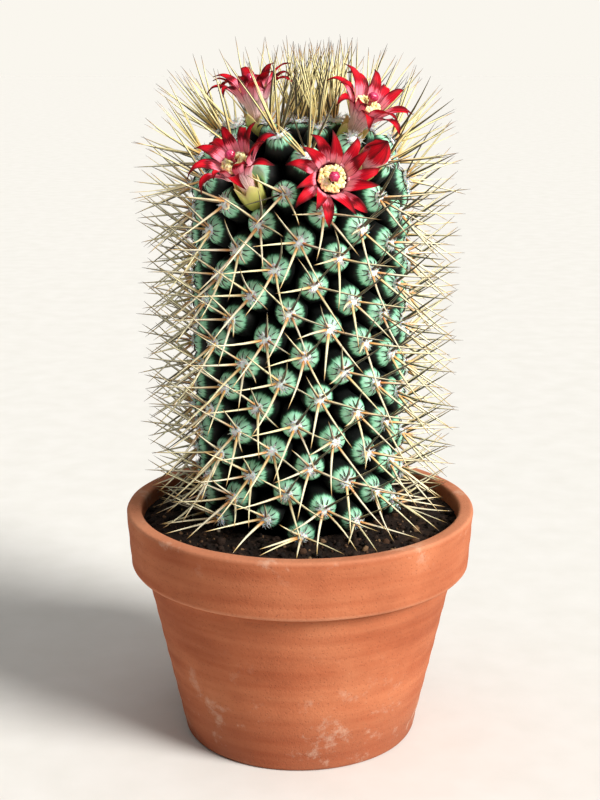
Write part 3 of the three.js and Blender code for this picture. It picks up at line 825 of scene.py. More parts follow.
PAD_WIDTH = 2.0
PAD_HEIGHT = 0.95
HAIRS = 46
CROWN_HAIRS = 14  # more of them on the youngest pads
HAIR_RADII = [0.15, 0.13, 0.03]
rng = np.random.default_rng(9)
pad_ball, pad_faces = tri_sphere(6, 12)
wool_points, wool_faces = [], []
for top, normal, number in areoles:
    young = youth(top)
    side, over = upright(normal)
    basis = np.stack([side, over, normal])
    width = PAD_WIDTH + 0.2 * young
    pad = pad_ball * (1 + 0.22 * smooth_noise(pad_ball, 0.9, 100 + number))[:, None]
    wool_points.append((pad * [width, width, PAD_HEIGHT]) @ basis + top + normal * 0.4)
    wool_faces.append(pad_faces)
    for _ in range(int(HAIRS + CROWN_HAIRS * young)):
        turn = rng.uniform(0, 2 * math.pi)
        lean = rng.uniform(0.4, 1.55)
        length = rng.uniform(0.9, 1.9) * (1 + 0.5 * young)
        out = math.cos(turn) * side + math.sin(turn) * over
        way = out * math.sin(lean) + normal * math.cos(lean)
        root = top + normal * 0.35 + out * width * 0.8 * math.sin(lean) + normal * 0.8 * math.cos(lean)
        curl = np.cross(normal, out) * rng.uniform(-0.5, 0.5)
        path = [root, root + way * length * 0.5 + curl, root + way * length - normal * 0.2 * math.sin(lean)]
        points, faces = strand(path, HAIR_RADII, 3)
        wool_points.append(points)
        wool_faces.append(faces)
wool_piece = link_mesh("areole_wool", *scattered(wool_points, wool_faces))

wool, wool_surface, tree, where = new_material(
    "areole felt", Roughness=0.95, Specular_IOR_Level=0.15, Sheen_Weight=0.7, Subsurface_Weight=0.4,
    Subsurface_Scale=0.002)
tuft = noise(tree, where, 900, 4)
patch = noise(tree, where, 40, 2)
felt = ramp(tree, tuft, [(0.25, colour(252, 247, 238)), (0.5, colour(255, 254, 250))])
blush = ramp(tree, patch, [(0.55, (0, 0, 0, 1)), (0.8, (0.2, 0.2, 0.2, 1))])
felt = mixed(tree, blush, felt, colour(240, 216, 200))
tree.links.new(felt, wool_surface.inputs["Base Color"])
emboss(tree, wool_surface, tuft, 0.8, 0.0003)
wool_piece.data.materials.append(wool)
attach(wool_piece, "root")


# Spines: from each areole come a few long stiff needles of horn, orange at the root, straw to cream
# along their length, and dark at the tip, with painted shade as a dark line along one side. Short
# dark bristles lie round them.

def read_needles():
    """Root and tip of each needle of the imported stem: a tip is a point with three long edges."""
    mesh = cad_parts["stem"].data
    co = np.empty(len(mesh.vertices) * 3)
    mesh.vertices.foreach_get("co", co)
    co = co.reshape(-1, 3) / MM
    unique, same = np.unique(np.round(co, 3), axis=0, return_inverse=True)
    edges = np.empty(len(mesh.edges) * 2, int)
    mesh.edges.foreach_get("vertices", edges)
    edges = np.unique(np.sort(same.reshape(-1)[edges].reshape(-1, 2), axis=1), axis=0)
    edges = edges[edges[:, 0] != edges[:, 1]]
    ends = np.concatenate([edges, edges[:, ::-1]])
    ends = ends[np.argsort(ends[:, 0], kind="stable")]
    starts = np.searchsorted(ends[:, 0], np.arange(len(unique) + 1))
    needles = []
    for tip in range(len(unique)):
        near = ends[starts[tip]:starts[tip + 1], 1]
        if len(near) == 3 and np.linalg.norm(unique[near] - unique[tip], axis=1).min() > SHORTEST_NEEDLE:
            needles.append((unique[near].mean(axis=0), unique[tip]))
    return needles


SHORTEST_NEEDLE = 12  # a point whose three edges are longer than this is a needle's tip
NEEDLE_STATIONS = np.array([0, 0.05, 0.18, 0.36, 0.55, 0.74, 0.9, 1.0])
NEEDLE_RADII = np.array([0.42, 0.5, 0.45, 0.39, 0.31, 0.22, 0.12, 0.03])
NEEDLE_SIDES = 6
# painted shade: the dark line along each needle stands for the shadow on the side away from the key light
SIDE_PAINTED_DARK = np.array([-0.6, 0, -0.8])  # each needle has a dark line along this side
THIN = 0.62  # the needles that fill out the crown are this much as thick
SIDE_NEEDLE = 20.5
CROWN_NEEDLE = 25.5
DARK_SHARE = 0.3
CROWN_EXTRA = 6  # more needles to an areole in the middle of the crown
CROWN_SPREAD = (8, 46)  # how far they lean out, in degrees
TIP_LIMIT = INNER_RIM - 1.6  # how far out a tip may lie below the rim, to stay clear of the clay
needles = {"points": [], "faces": [], "along": [], "painted_shade": [], "tone": []}


def add_needle(path, radii, tone, shade=None):
    """Adds one needle: how far each point is turned to the side of painted shade, or the same value for all.
    """
    points, faces = strand(path, radii, NEEDLE_SIDES)
    needles["points"].append(points)
    needles["faces"].append(faces)
    needles["along"] += np.repeat(NEEDLE_STATIONS, NEEDLE_SIDES).tolist()
    needles["tone"] += [tone] * len(points)
    if shade is None:
        way = (path[-1] - path[0]) / np.linalg.norm(path[-1] - path[0])
        line = SIDE_PAINTED_DARK - way * (way @ SIDE_PAINTED_DARK)
        line /= max(np.linalg.norm(line), 0.2)
        rings = points.reshape(len(path), NEEDLE_SIDES, 3)
        outwards = rings - rings.mean(axis=1, keepdims=True)
        outwards /= np.linalg.norm(outwards, axis=2, keepdims=True)
        needles["painted_shade"] += (outwards @ line).reshape(-1).tolist()
    else:
        needles["painted_shade"] += [shade] * len(points)


rng = np.random.default_rng(31)
for root, tip in read_needles():
    tip_radius = math.hypot(tip[0], tip[1])
    if tip[2] < POT_HEIGHT and tip_radius > TIP_LIMIT:
        tip = tip * [TIP_LIMIT / tip_radius, TIP_LIMIT / tip_radius, 1]
    way = tip - root
    length = np.linalg.norm(way)
    side, over = upright(way / length)
    bow = side * rng.normal() * 0.35 + over * (rng.normal() * 0.3 - 0.1)
    root = root - way / length * 0.5
    path = [root + (tip - root) * t + bow * math.sin(math.pi * t) for t in NEEDLE_STATIONS]
    add_needle(path, NEEDLE_RADII * rng.uniform(0.9, 1.1), rng.random())
for top, normal, _ in areoles:
    young = youth(top)
    side, over = upright(normal)
    for _ in range(int(1 + CROWN_EXTRA * young) if young > 0.2 else 0):
        turn, spread = rng.uniform(0, 2 * math.pi), math.radians(rng.uniform(*CROWN_SPREAD))
        out = math.cos(turn) * side + math.sin(turn) * over
        way = normal * math.cos(spread) + out * math.sin(spread) + np.array([0, 0, 0.35 * young])
        way /= np.linalg.norm(way)
        length = rng.uniform(0.78, 1.04) * (CROWN_NEEDLE * young + SIDE_NEEDLE * (1 - young))
        root = top + out * 0.5
        tip = root + way * length
        bow = out * rng.normal() * 0.5
        path = [root + (tip - root) * t + bow * math.sin(math.pi * t) for t in NEEDLE_STATIONS]
        if tip[2] > cad_box[1][2] / MM or in_bloom(np.array(path), 3.0).any():
            continue
        # some thin crown needles are wholly in painted shade, as dark strokes among the straw ones
        dark = rng.random() < DARK_SHARE
        add_needle(path, NEEDLE_RADII * THIN, rng.random(), 1.0 if dark else -1.0)
needle_piece = link_mesh("central_spines", *scattered(needles["points"], needles["faces"]))
for name in ("along", "painted_shade", "tone"):
    add_attribute(needle_piece, name, needles[name])

horn, horn_surface, tree, where = new_material(
    "spine horn", Roughness=0.42, Specular_IOR_Level=0.5, Coat_Weight=0.15)
along = read_attribute(tree, "along")
flecks = noise(tree, where, 420, 3)
shaft = ramp(tree, maths(tree, "ADD", along, swing(tree, flecks, 0.12)), [
    (0.0, colour(204, 112, 46)), (0.13, colour(230, 160, 92)), (0.32, colour(254, 240, 212)),
    (0.7, colour(255, 246, 216)), (0.88, colour(214, 178, 112)), (0.98, colour(50, 32, 20))])
straw = ramp(tree, along, [
    (0.0, colour(206, 126, 56)), (0.1, colour(248, 208, 124)), (0.3, colour(255, 238, 166)),
    (0.8, colour(255, 244, 184)), (0.92, colour(176, 126, 70)), (0.98, colour(44, 28, 18))])
crown = place(tree, "ShaderNodeSeparateXYZ", {"Vector": where}).outputs["Z"]
crown = within(tree, crown, 0.176, 0.206)
tone = times(tree, read_attribute(tree, "tone"), 0.6)
shaft = mixed(tree, maths(tree, "MAXIMUM", crown, tone), shaft, straw)
# painted shade: a near-black line down the side of each needle that is turned from the key light, and the
# whole of the crown needles marked dark
shade_line_mask = within(tree, read_attribute(tree, "painted_shade"), 0.0, 0.25)
shaft = tinted(tree, shaft, colour(26, 16, 8), shade_line_mask, 0.94)
tree.links.new(shaft, horn_surface.inputs["Base Color"])
emboss(tree, horn_surface, flecks, 0.25, 0.0001)
needle_piece.data.materials.append(horn)
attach(needle_piece, "root")

BRISTLES = 11
BRISTLE_LENGTH = (2.0, 2.9)
BRISTLE_STATIONS = [0, 0.4, 0.75, 1]
BRISTLE_RADII = [0.2, 0.21, 0.16, 0.03]
rng = np.random.default_rng(17)
bristle_points, bristle_faces, bristle_along = [], [], []
for top, normal, _ in areoles:
    side, over = upright(normal)
    for k in range(BRISTLES):
        turn = (k + rng.uniform(-0.2, 0.2)) * 2 * math.pi / BRISTLES
        out = math.cos(turn) * side + math.sin(turn) * over
        length = rng.uniform(*BRISTLE_LENGTH)
        root = top + out * 1.6 - normal * 0.1
        path = [root + out * length * t - normal * (0.1 + 1.0 * t * t) + normal * 0.45 * math.sin(math.pi * t)
                for t in BRISTLE_STATIONS]
        if in_bloom(np.array(path), 0.3).any():
            continue
        points, faces = strand(path, BRISTLE_RADII, 3)
        bristle_points.append(points)
        bristle_faces.append(faces)
        bristle_along += np.repeat(BRISTLE_STATIONS, 3).tolist()
bristle_piece = link_mesh("radial_bristles", *scattered(bristle_points, bristle_faces))
add_attribute(bristle_piece, "along", bristle_along)
dark_horn, dark_surface, tree, where = new_material(
    "bristle horn", Roughness=0.5, Specular_IOR_Level=0.4)
flecks = noise(tree, where, 500, 3)
shaft = ramp(tree, read_attribute(tree, "along"), [
    (0.0, colour(120, 84, 52)), (0.25, colour(48, 36, 26)), (1.0, colour(22, 20, 16))])
shaft = tinted(tree, shaft, colour(84, 66, 46), flecks, 0.3)
tree.links.new(shaft, dark_surface.inputs["Base Color"])
bristle_piece.data.materials.append(dark_horn)
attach(bristle_piece, "root")


# Sepals: each bloom sits in a cup of five pointed, fleshy yellow-green lobes. The cup stands in the
# furrow between the warts, and the foot of the flower's tube is inside it.

CUP_WALL = 0.8
TUBE_RADIUS = 2.4
TUBE_FOOT = 1
LOBES = 5
THIN_LIP = 0.12  # how far the inner skin stays below the tips
LOBE_RADIUS = 4.25  # of the ring that the tips of the lobes stand on
LOBE_BULGE = 0.03


def loft(rings):
    """Points and faces of rings of points joined one to the next and closed by a face at each end."""
    rings = np.asarray(rings, float)
    return rings.reshape(-1, 3), ring_faces(*rings.shape[:2])


def ring_points(radius, turns, height):
    """A ring of points about the upright axis."""
    return np.stack([radius * np.cos(turns), radius * np.sin(turns), height + 0 * turns], 1)


def in_place(bloom, points):
    """Points drawn about the upright axis with the foot at the origin, moved to where the bloom stands."""
    return np.asarray(points, float) @ bloom["turn"].T + bloom["foot"]


sepal, sepal_surface, tree, where = new_material(
    "sepal flesh", Roughness=0.5, Specular_IOR_Level=0.35, Subsurface_Weight=0.1,
    Subsurface_Scale=0.002)
mottle = noise(tree, where, 500, 4)
shade = ramp(tree, maths(tree, "ADD", read_attribute(tree, "along"), swing(tree, mottle, 0.3)), [
    (0.0, colour(168, 190, 96)), (0.35, colour(214, 216, 104)), (0.75, colour(240, 236, 140)),
    (1.0, colour(236, 214, 150))])
shade = tinted(tree, shade, colour(150, 150, 60), read_attribute(tree, "edge"), 0.45)
tree.links.new(shade, sepal_surface.inputs["Base Color"])
emboss(tree, sepal_surface, mottle, 0.3, 0.0002)

cup_sides = LOBES * 16
cup_turns = np.arange(cup_sides) * 2 * math.pi / cup_sides
cup_bulge = LOBE_BULGE * np.cos(cup_turns * LOBES)
lobe_swing = np.abs(cup_turns * LOBES / (2 * math.pi) % 1 * 2 - 1)
lobe_height = LOBE_HEIGHT * (1 - (1 - lobe_swing) ** 1.35)


def cup_outside(share):
    """Radius and height of the cup's outer skin, at a share of the way up, for each point of a ring."""
    height = -SUNK + (CUP_HEIGHT + SUNK + lobe_height) * share
    heights = [-SUNK, -SUNK + 0.8, -SUNK + 1.8, CUP_HEIGHT * 0.5, CUP_HEIGHT, LOBE_TOP]
    widths = [CUP_RADIUS * 0.5, CUP_RADIUS * 0.72, CUP_RADIUS * 0.88, CUP_RADIUS, CUP_RADIUS, LOBE_RADIUS]
    return np.interp(height, heights, widths) * (1 + cup_bulge), height


def cup_inside(share):
    """The same for its inner skin: the wall thins towards the tips of the lobes."""
    height = TUBE_FOOT - FIT_GAP + (CUP_HEIGHT - TUBE_FOOT + FIT_GAP + lobe_height - THIN_LIP) * share
    wall = CUP_WALL * (1 - 0.75 * share ** 3)
    heights = [TUBE_FOOT - FIT_GAP, CUP_HEIGHT * 0.5, CUP_HEIGHT, LOBE_TOP]
    widths = [TUBE_RADIUS + FIT_GAP + wall, CUP_RADIUS, CUP_RADIUS, LOBE_RADIUS]
    return (np.interp(height, heights, widths) - wall) * (1 + cup_bulge * share), height


rings, along, edge = [], [], []
for skin, shares in ((cup_outside, np.linspace(0, 1, 15)), (cup_inside, np.linspace(1, 0, 9))):
    for share in shares:
        radius, height = skin(share)
        rings.append(ring_points(radius, cup_turns, height))
        along += [share] * cup_sides
        edge += ((1 - lobe_swing) ** 4 * share).tolist()
cup_points, cup_faces = loft(rings)
for name, bloom in blooms.items():
    cup = link_mesh("sepals_" + name, in_place(bloom, cup_points), cup_faces)
    add_attribute(cup, "along", along)
    add_attribute(cup, "edge", edge)
    cup.data.materials.append(sepal)
    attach(cup, "root")
    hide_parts("calyx_" + name)


# Corollas: each open flower is a thin ribbed funnel that splits into two whorls of pointed petals.
# The petals are pink at the throat and crimson to near black at their tips, and all bend one way.
# Painted shade darkens a band where pink meets crimson, one side of each petal's outer half, and
# the inside of the funnel.

THROAT_RADIUS = 5.2
TUBE_WALL = 0.8
TUBE_FLOOR = 4
PETAL_WIDTH = 4.1
PETAL_THICKNESS = 0.42
PETAL_SHARES = [0, 0.25, 0.42, 0.58, 0.75, 0.89, 1]
PETAL_WIDTHS = [0.6, 0.86, 1, 0.93, 0.64, 0.3, 0.02]  # shares of the full width, at shares of the length
PETALS = 7
# where each whorl starts, in petals, how far its petals bend sideways, and their line
WHORLS = [
    (0, 3.9, [(THROAT_RADIUS - 0.9, MOUTH - 3), (THROAT_RADIUS + 1, MOUTH), (REACH * 0.62, MOUTH + 2.6),
              (REACH * 0.84, MOUTH + 3.2), (REACH, MOUTH + 1)]),
    (0.5, 3.2, [(THROAT_RADIUS - 0.9, MOUTH - 2.4), (THROAT_RADIUS, MOUTH + 0.8), (REACH * 0.5, MOUTH + 4),
                 (REACH * 0.7, MOUTH + 6), (REACH * 0.88, MOUTH + 6)]),
]


def curve_through(stations, count):
    """Evenly spaced points of a smooth curve through given points."""
    stations = np.array(stations, float)
    padded = np.concatenate([[2 * stations[0] - stations[1]], stations, [2 * stations[-1] - stations[-2]]])
    fine = []
    for i in range(1, len(padded) - 2):
        a, b, c, d = padded[i - 1:i + 3]
        for t in np.linspace(0, 1, 24, endpoint=False):
            fine.append(0.5 * (2 * b + (c - a) * t + (2 * a - 5 * b + 4 * c - d) * t * t
                               + (3 * b - a - 3 * c + d) * t ** 3))
    fine = np.array(fine + [stations[-1]])
    lengths = np.concatenate([[0], np.cumsum(np.linalg.norm(np.diff(fine, axis=0), axis=1))])
    even = np.linspace(0, lengths[-1], count)
    return np.stack([np.interp(even, lengths, fine[:, k]) for k in range(fine.shape[1])], 1)


def petal_rings(line, sway, rng, rows=22, columns=9):
    """Cross-sections of one petal along its arched line, and the place of each point along and across it."""
    path = curve_through(line, rows)
    ahead = np.gradient(path, axis=0)
    ahead /= np.linalg.norm(ahead, axis=1)[:, None]
    curl, ripple, phase = rng.uniform(0.8, 1.25), rng.uniform(0.06, 0.16), rng.uniform(0, 6.3)
    rings, along, across = [], [], []
    for row in range(rows):
        t = row / (rows - 1)
        half = PETAL_WIDTH / 2 * np.interp(t, PETAL_SHARES, PETAL_WIDTHS)
        above = np.array([-ahead[row, 1], ahead[row, 0]])
        side = np.linspace(-1, 1, columns)
        channel = half * (0.1 + 0.22 * t) * side ** 2 + ripple * np.sin(9 * t + phase) * side * np.abs(side)
        thick = PETAL_THICKNESS * (1 - 0.72 * side ** 2) * (1 - 0.55 * t)
        sideways = sway * curl * t ** 2.2
        upper = np.concatenate([side, side[::-1]])
        lift = np.concatenate([channel, (channel - thick)[::-1]])
        out = path[row, 0] + above[0] * lift
        up = path[row, 1] + above[1] * lift
        rings.append(np.stack([out, upper * half + sideways, up], 1))
        along += [t] * (2 * columns)
        across += upper.tolist()
    return rings, along, across


def about_axis(points, turn):
    """Points turned about the upright axis."""
    cos, sin = math.cos(turn), math.sin(turn)
    points = np.asarray(points)
    return np.stack([points[..., 0] * cos - points[..., 1] * sin,
                     points[..., 0] * sin + points[..., 1] * cos, points[..., 2]], -1)


petal, petal_surface, tree, _ = new_material(
    "petal tissue", Roughness=0.55, Specular_IOR_Level=0.16, Subsurface_Weight=0.05,
    Subsurface_Scale=0.001)
along = read_attribute(tree, "along")
across = read_attribute(tree, "across")
tone = read_attribute(tree, "tone")
grain_way = place(tree, "ShaderNodeCombineXYZ", {
    "X": times(tree, across, 4.0), "Y": times(tree, along, 2.2),
    "Z": times(tree, tone, 37.0)})
veins = noise(tree, grain_way.outputs[0], 3.2, 4)
level = maths(tree, "ADD", along, swing(tree, veins, 0.26))
shade = ramp(tree, level, [
    (0.0, colour(253, 236, 230)), (0.3, colour(252, 208, 210)), (0.46, colour(250, 164, 180)),
    (0.61, colour(248, 134, 156)), (0.665, colour(224, 22, 52)), (0.74, colour(218, 6, 34)),
    (0.87, colour(200, 2, 26)), (0.95, colour(112, 0, 12)), (1.0, colour(16, 0, 4))])
# painted shade: a dark maroon band where the pink meets the crimson, stronger on some petals, stands for the
# shadow in the bend of the petal
curvature_shade_band = within(tree, maths(tree, "ABSOLUTE", maths(tree, "SUBTRACT", level, 0.71)), 0.07, 0.02)
petal_shade_strength = within(tree, tone, 0.25, 0.6)
shade = tinted(tree, shade, colour(70, 0, 6), times(tree, curvature_shade_band, petal_shade_strength), 0.9)
# painted shade: one side of each petal's outer half is coloured near-black red, as the side turned from the
# light
shaded_half_mask = within(tree, across, 0.1, 0.9)
outer_half = within(tree, level, 0.62, 0.72)
shade = tinted(tree, shade, colour(58, 0, 8), times(tree, shaded_half_mask, outer_half), 0.9)
middle = within(tree, maths(tree, "ABSOLUTE", across), 0.16, 0.02)
edge = within(tree, maths(tree, "ABSOLUTE", across), 0.86, 1.0)
lines = maths(tree, "MAXIMUM", times(tree, middle, 0.4), times(tree, edge, 0.8))
shade = mixed(tree, lines, shade, colour(104, 6, 26))
# painted shade: the inner wall of the funnel is coloured dark crimson as the shadow down the throat
shade = mixed(tree, read_attribute(tree, "inside"), shade, colour(120, 8, 34))
tree.links.new(shade, petal_surface.inputs["Base Color"])
emboss(tree, petal_surface, maths(tree, "ADD", veins, times(tree, lines, -0.6)), 0.35, 0.0003)

MOUTH_SHARE = 0.4
RIBS = 2 * PETALS
tube_sides = RIBS * 8
tube_turns = np.arange(tube_sides) * 2 * math.pi / tube_sides
rib_across = (tube_turns * RIBS / (2 * math.pi) + 0.5) % 1 * 2 - 1
open_blooms = {name: bloom for name, bloom in blooms.items() if name != "bud"}
outer = curve_through([
    (TUBE_RADIUS - 0.4, TUBE_FOOT), (TUBE_RADIUS, TUBE_FOOT + 0.6), (TUBE_RADIUS + 0.4, LOBE_TOP),
    (THROAT_RADIUS, MOUTH - 2), (THROAT_RADIUS + 0.4, MOUTH - 0.3)], 22)
inner = curve_through([
    (THROAT_RADIUS + 0.3 - TUBE_WALL, MOUTH - 0.3), (THROAT_RADIUS - TUBE_WALL, MOUTH - 2.3),
    (TUBE_RADIUS + 0.4 - TUBE_WALL, LOBE_TOP), (TUBE_RADIUS - TUBE_WALL, TUBE_FLOOR)], 14)
for number, (name, bloom) in enumerate(open_blooms.items()):
    rng = np.random.default_rng(40 + number)
    pieces, piece_faces = [], []
    values = {"along": [], "across": [], "tone": [], "inside": []}
    rings = []
    for radius, height in np.concatenate([outer, inner]):
        ribbed = radius * (1 - 0.05 * np.abs(rib_across) ** 3 * np.clip((height - 3) / 6, 0, 1))
        rings.append(ring_points(ribbed, tube_turns, height))
        values["along"] += [MOUTH_SHARE * height / MOUTH] * tube_sides
    points, faces = loft(rings)
    pieces.append(points)
    piece_faces.append(faces)
    values["across"] += np.tile(rib_across, len(rings)).tolist()
    values["tone"] += [0.5] * len(points)
    # the inner wall of the tube takes the painted throat shade
    values["inside"] += [0.0] * (len(outer) * tube_sides) + [1.0] * (len(inner) * tube_sides)
    for start, sway, line in WHORLS:
        for k in range(PETALS):
            reach, droop = rng.uniform(0.94, 1.03), rng.uniform(-0.7, 0.5)
            bent = [(out * (1 + (reach - 1) * share), up + droop * share ** 2)
                    for (out, up), share in zip(line, (0, 0.2, 0.6, 0.9, 1))]
            rings, along_petal, across_petal = petal_rings(bent, sway * rng.uniform(0.8, 1.2), rng)
            turn = (k + start) * 2 * math.pi / PETALS + rng.uniform(-0.06, 0.06)
            points, faces = loft(about_axis(rings, turn))
            pieces.append(points)
            piece_faces.append(faces)
            values["along"] += (MOUTH_SHARE - 0.06 + (1.06 - MOUTH_SHARE) * np.array(along_petal)).tolist()
            values["across"] += across_petal
            values["tone"] += [rng.random()] * len(points)
            values["inside"] += [0.0] * len(points)
    points, faces = scattered(pieces, piece_faces)
    corolla = link_mesh("petals_" + name, in_place(bloom, points), faces)
    for value_name, value in values.items():
        add_attribute(corolla, value_name, value)
    corolla.data.materials.append(petal)
    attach(corolla, "root")
    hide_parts("corolla_" + name)


# Stamens: a thick ring of fine filaments rises from the throat of each open flower, and each ends in
# a small pale yellow pollen sac. The ring is open in the middle for the style.

STAMEN_RADIUS = 4.2
STAMEN_COUNT = 150
FILAMENT_FOOT = 11.2
FILAMENT_RADII = [0.13, 0.12, 0.11, 0.1]
SAC_SIZE = [0.62, 0.48, 0.48]
RING_SHAPE = ([1.1, 2.9, 4.2], [15.7, 16.9, 16.0])  # radii, and the height of the sacs at each
anther, anther_surface, tree, where = new_material("pollen", Roughness=0.85, Specular_IOR_Level=0.2)
dust = noise(tree, where, 2200, 3)
shade = ramp(tree, maths(tree, "ADD", read_attribute(tree, "tone"), times(tree, dust, 0.3)), [
    (0.1, colour(250, 234, 150)), (0.6, colour(255, 248, 190)), (1.0, colour(255, 254, 222))])
shade = mixed(tree, read_attribute(tree, "filament"), shade, colour(232, 150, 130))
tree.links.new(shade, anther_surface.inputs["Base Color"])
emboss(tree, anther_surface, dust, 0.6, 0.0001)

sac_ball, sac_faces = tri_sphere(5, 8)
for number, (name, bloom) in enumerate(open_blooms.items()):
    rng = np.random.default_rng(60 + number)
    pieces, piece_faces, tones, filament = [], [], [], []
    for k in range(STAMEN_COUNT):
        turn = k * GOLDEN_TURN
        radius = math.sqrt(rng.uniform(1.5 ** 2, (STAMEN_RADIUS - 0.1) ** 2))
        height = np.interp(radius, *RING_SHAPE) + rng.uniform(-0.5, 0.3)
        way = np.array([math.cos(turn), math.sin(turn), 0])
        top = way * radius + [0, 0, height]
        low = way * (0.6 * radius + 0.5) + [0, 0, FILAMENT_FOOT]
        path = [low + (top - low) * t + way * 0.25 * math.sin(math.pi * t) for t in (0, 0.35, 0.7, 1)]
        points, faces = strand(path, FILAMENT_RADII, 4)
        pieces.append(points)
        piece_faces.append(faces)
        filament += [1.0] * len(points)
        tone = rng.random() * 0.8
        tones += [tone] * (len(points) + len(sac_ball))
        spin = np.array(Quaternion(rng.normal(size=4)).normalized().to_matrix())
        pieces.append(sac_ball * SAC_SIZE * rng.uniform(0.85, 1.2) @ spin.T + top)
        piece_faces.append(sac_faces)
        filament += [0.0] * len(sac_ball)
    points, faces = scattered(pieces, piece_faces)
    stamens = link_mesh("pollen_ring_" + name, in_place(bloom, points), faces)
    add_attribute(stamens, "tone", tones)
    add_attribute(stamens, "filament", filament)
    stamens.data.materials.append(anther)
    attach(stamens, "root")
    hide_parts("stamens_" + name)


# Pistils: a slender style stands in the middle of each open flower and ends in a moist, magenta
# stigma of six blunt lobes pressed together.

STIGMA_RADIUS = 1.7
STIGMA_GROOVES = 6
GROOVE_DEPTH = 0.16
STIGMA_HEIGHT = 19.3
STYLE_FOOT = 4.3
STYLE_LENGTH = 14
STYLE_RINGS = 9
STYLE_SIDES = 10
moist, moist_surface, tree, where = new_material(
    "stigma tissue", Roughness=0.25, Specular_IOR_Level=0.5, Coat_Weight=0.5, Coat_Roughness=0.15)
velvet = noise(tree, where, 1600, 3)
shade = ramp(tree, maths(tree, "ADD", read_attribute(tree, "along"), swing(tree, velvet, 0.25)), [
    (0.0, colour(236, 150, 150)), (0.55, colour(150, 12, 46)), (0.85, colour(182, 22, 70)),
    (1.0, colour(216, 58, 108))])
tree.links.new(shade, moist_surface.inputs["Base Color"])
emboss(tree, moist_surface, velvet, 0.3, 0.0001)

stigma_ball, stigma_faces = tri_sphere(16, 36)
turns = np.arctan2(stigma_ball[:, 1], stigma_ball[:, 0])
girth = np.hypot(stigma_ball[:, 0], stigma_ball[:, 1])
grooves = GROOVE_DEPTH * np.abs(np.sin(STIGMA_GROOVES / 2 * turns)) ** 6 * girth
lobed = stigma_ball * (1 - grooves)[:, None] * STIGMA_RADIUS
lobed[:, 2] *= 0.9
style_path = [(0.25 * math.sin(t * 3), 0, STYLE_FOOT + STYLE_LENGTH * t)
              for t in np.linspace(0, 1, STYLE_RINGS)]
style_points, style_faces = strand(style_path, [0.5] * (STYLE_RINGS - 1) + [0.6], STYLE_SIDES)
points, faces = scattered([style_points, lobed + [0, 0, STIGMA_HEIGHT]], [style_faces, stigma_faces])
along = np.repeat(np.linspace(0, 0.5, STYLE_RINGS), STYLE_SIDES).tolist()
along += (0.55 + 0.45 * (stigma_ball[:, 2] * 0.5 + 0.5)).tolist()
for name, bloom in open_blooms.items():
    pistil = link_mesh("stigma_" + name, in_place(bloom, points), faces)
    add_attribute(pistil, "along", along)
    pistil.data.materials.append(moist)
    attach(pistil, "root")
    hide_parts("pistil_" + name)


# Bud: one flower is still shut. Its petals are rolled round each other to a point, and stand in
# the same kind of green-yellow cup.

BUD_PETALS = 6
BUD_TWIST = 0.9  # in radians, from foot to tip
LAP_DEPTH = 0.13
LAP_EDGE = 0.93  # a petal rises over this share of its width, and falls to the next over the rest
bud_outline = curve_through([
    (2.2, TUBE_FOOT), (2.7, CUP_HEIGHT), (3.3, 9.2), (4.1, 11.6), (3.0, 14.7), (1.15, 17.3),
    (0.12, BUD_TOP)], 44)
bud_sides = BUD_PETALS * 14
bud_turns = np.arange(bud_sides) * 2 * math.pi / bud_sides
rings, along, across = [], [], []
for radius, height in bud_outline:
    share = (height - TUBE_FOOT) / (BUD_TOP - TUBE_FOOT)
    lap = (bud_turns * BUD_PETALS / (2 * math.pi) + 0.3 * share) % 1
    step = np.where(lap < LAP_EDGE, lap / LAP_EDGE, (1 - lap) / (1 - LAP_EDGE))
    rolled = radius * (1 + LAP_DEPTH * (step - 0.5) * np.clip((share - 0.25) * 3, 0, 1))
    turns = bud_turns + BUD_TWIST * share ** 2
    rings.append(ring_points(rolled, turns, height))
    along += [0.1 + 0.9 * share] * bud_sides
    across += (lap * 2 - 1).tolist()
points, faces = loft(rings)
bud = link_mesh("petals_shut", in_place(blooms["bud"], points), faces)
add_attribute(bud, "along", along)
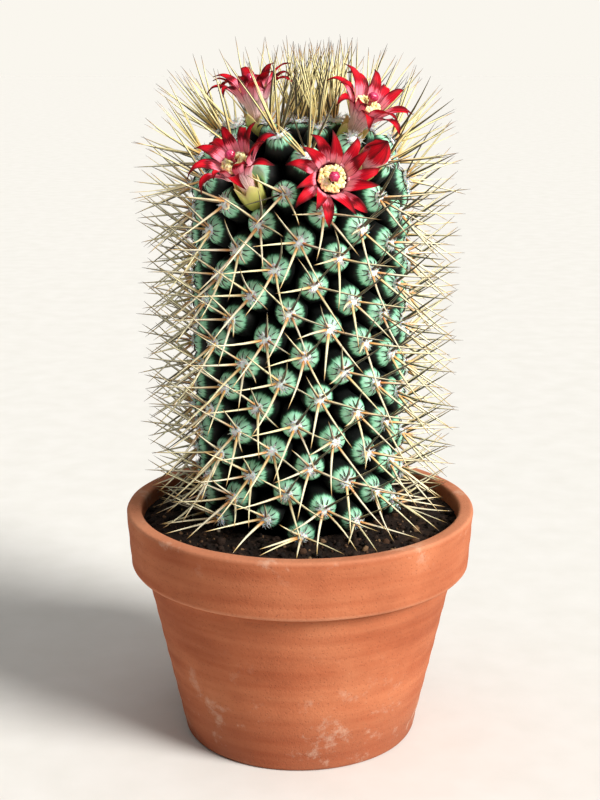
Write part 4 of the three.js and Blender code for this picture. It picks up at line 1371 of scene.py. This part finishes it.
add_attribute(bud, "across", across)
add_attribute(bud, "tone", [0.3] * len(points))
add_attribute(bud, "inside", [0.0] * len(points))
bud.data.materials.append(petal)
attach(bud, "root")
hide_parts("petals_bud")


# Studio: a plain pale floor under an even pale surround. A large soft light from the right leaves the
# left side of the column in shade, and a wide one overhead keeps the floor pale.

FLOOR_REACH = 6000
floor_corners = [(x * FLOOR_REACH, y * FLOOR_REACH, 0) for x, y in ((-1, -1), (1, -1), (1, 1), (-1, 1))]
floor = link_mesh("floor", floor_corners, [(0, 1, 2, 3)])
paper, paper_surface, tree, where = new_material("pale floor", Roughness=1.0, Specular_IOR_Level=0.0)
tooth = noise(tree, where, 60, 6)
tree.links.new(ramp(tree, tooth, [(0.3, colour(225, 223, 218)), (0.7, colour(230, 228, 224))]),
               paper_surface.inputs["Base Color"])
floor.data.materials.append(paper)


def sun(name, energy, spread, tint):
    """A distant light that shines straight down, with its spread in degrees."""
    data = bpy.data.lights.new(name, "SUN")
    data.energy = energy
    data.angle = math.radians(spread)
    data.color = tint
    lamp = bpy.data.objects.new(name, data)
    bpy.context.scene.collection.objects.link(lamp)
    return lamp


key = sun("key", 4.9, 24, (1, 0.985, 0.95))
key.rotation_euler = Vector((-0.76, 0.54, -0.60)).to_track_quat("-Z", "Y").to_euler()
sun("overhead", 0.9, 70, (1, 0.99, 0.97))

world = bpy.data.worlds.new("surround")
bpy.context.scene.world = world
world.use_nodes = True
tree = world.node_tree
fill = tree.nodes["Background"]
fill.inputs["Color"].default_value = (1, 0.99, 0.96, 1)
fill.inputs["Strength"].default_value = 0.11
seen = place(tree, "ShaderNodeBackground", {"Color": (0.958, 0.927, 0.857, 1), "Strength": 1.0})
rays = place(tree, "ShaderNodeLightPath")
both = place(tree, "ShaderNodeMixShader", {
    0: rays.outputs["Is Camera Ray"], 1: fill.outputs[0], 2: seen.outputs[0]})
tree.links.new(both.outputs[0], tree.nodes["World Output"].inputs["Surface"])
bpy.context.scene.view_settings.view_transform = "Standard"
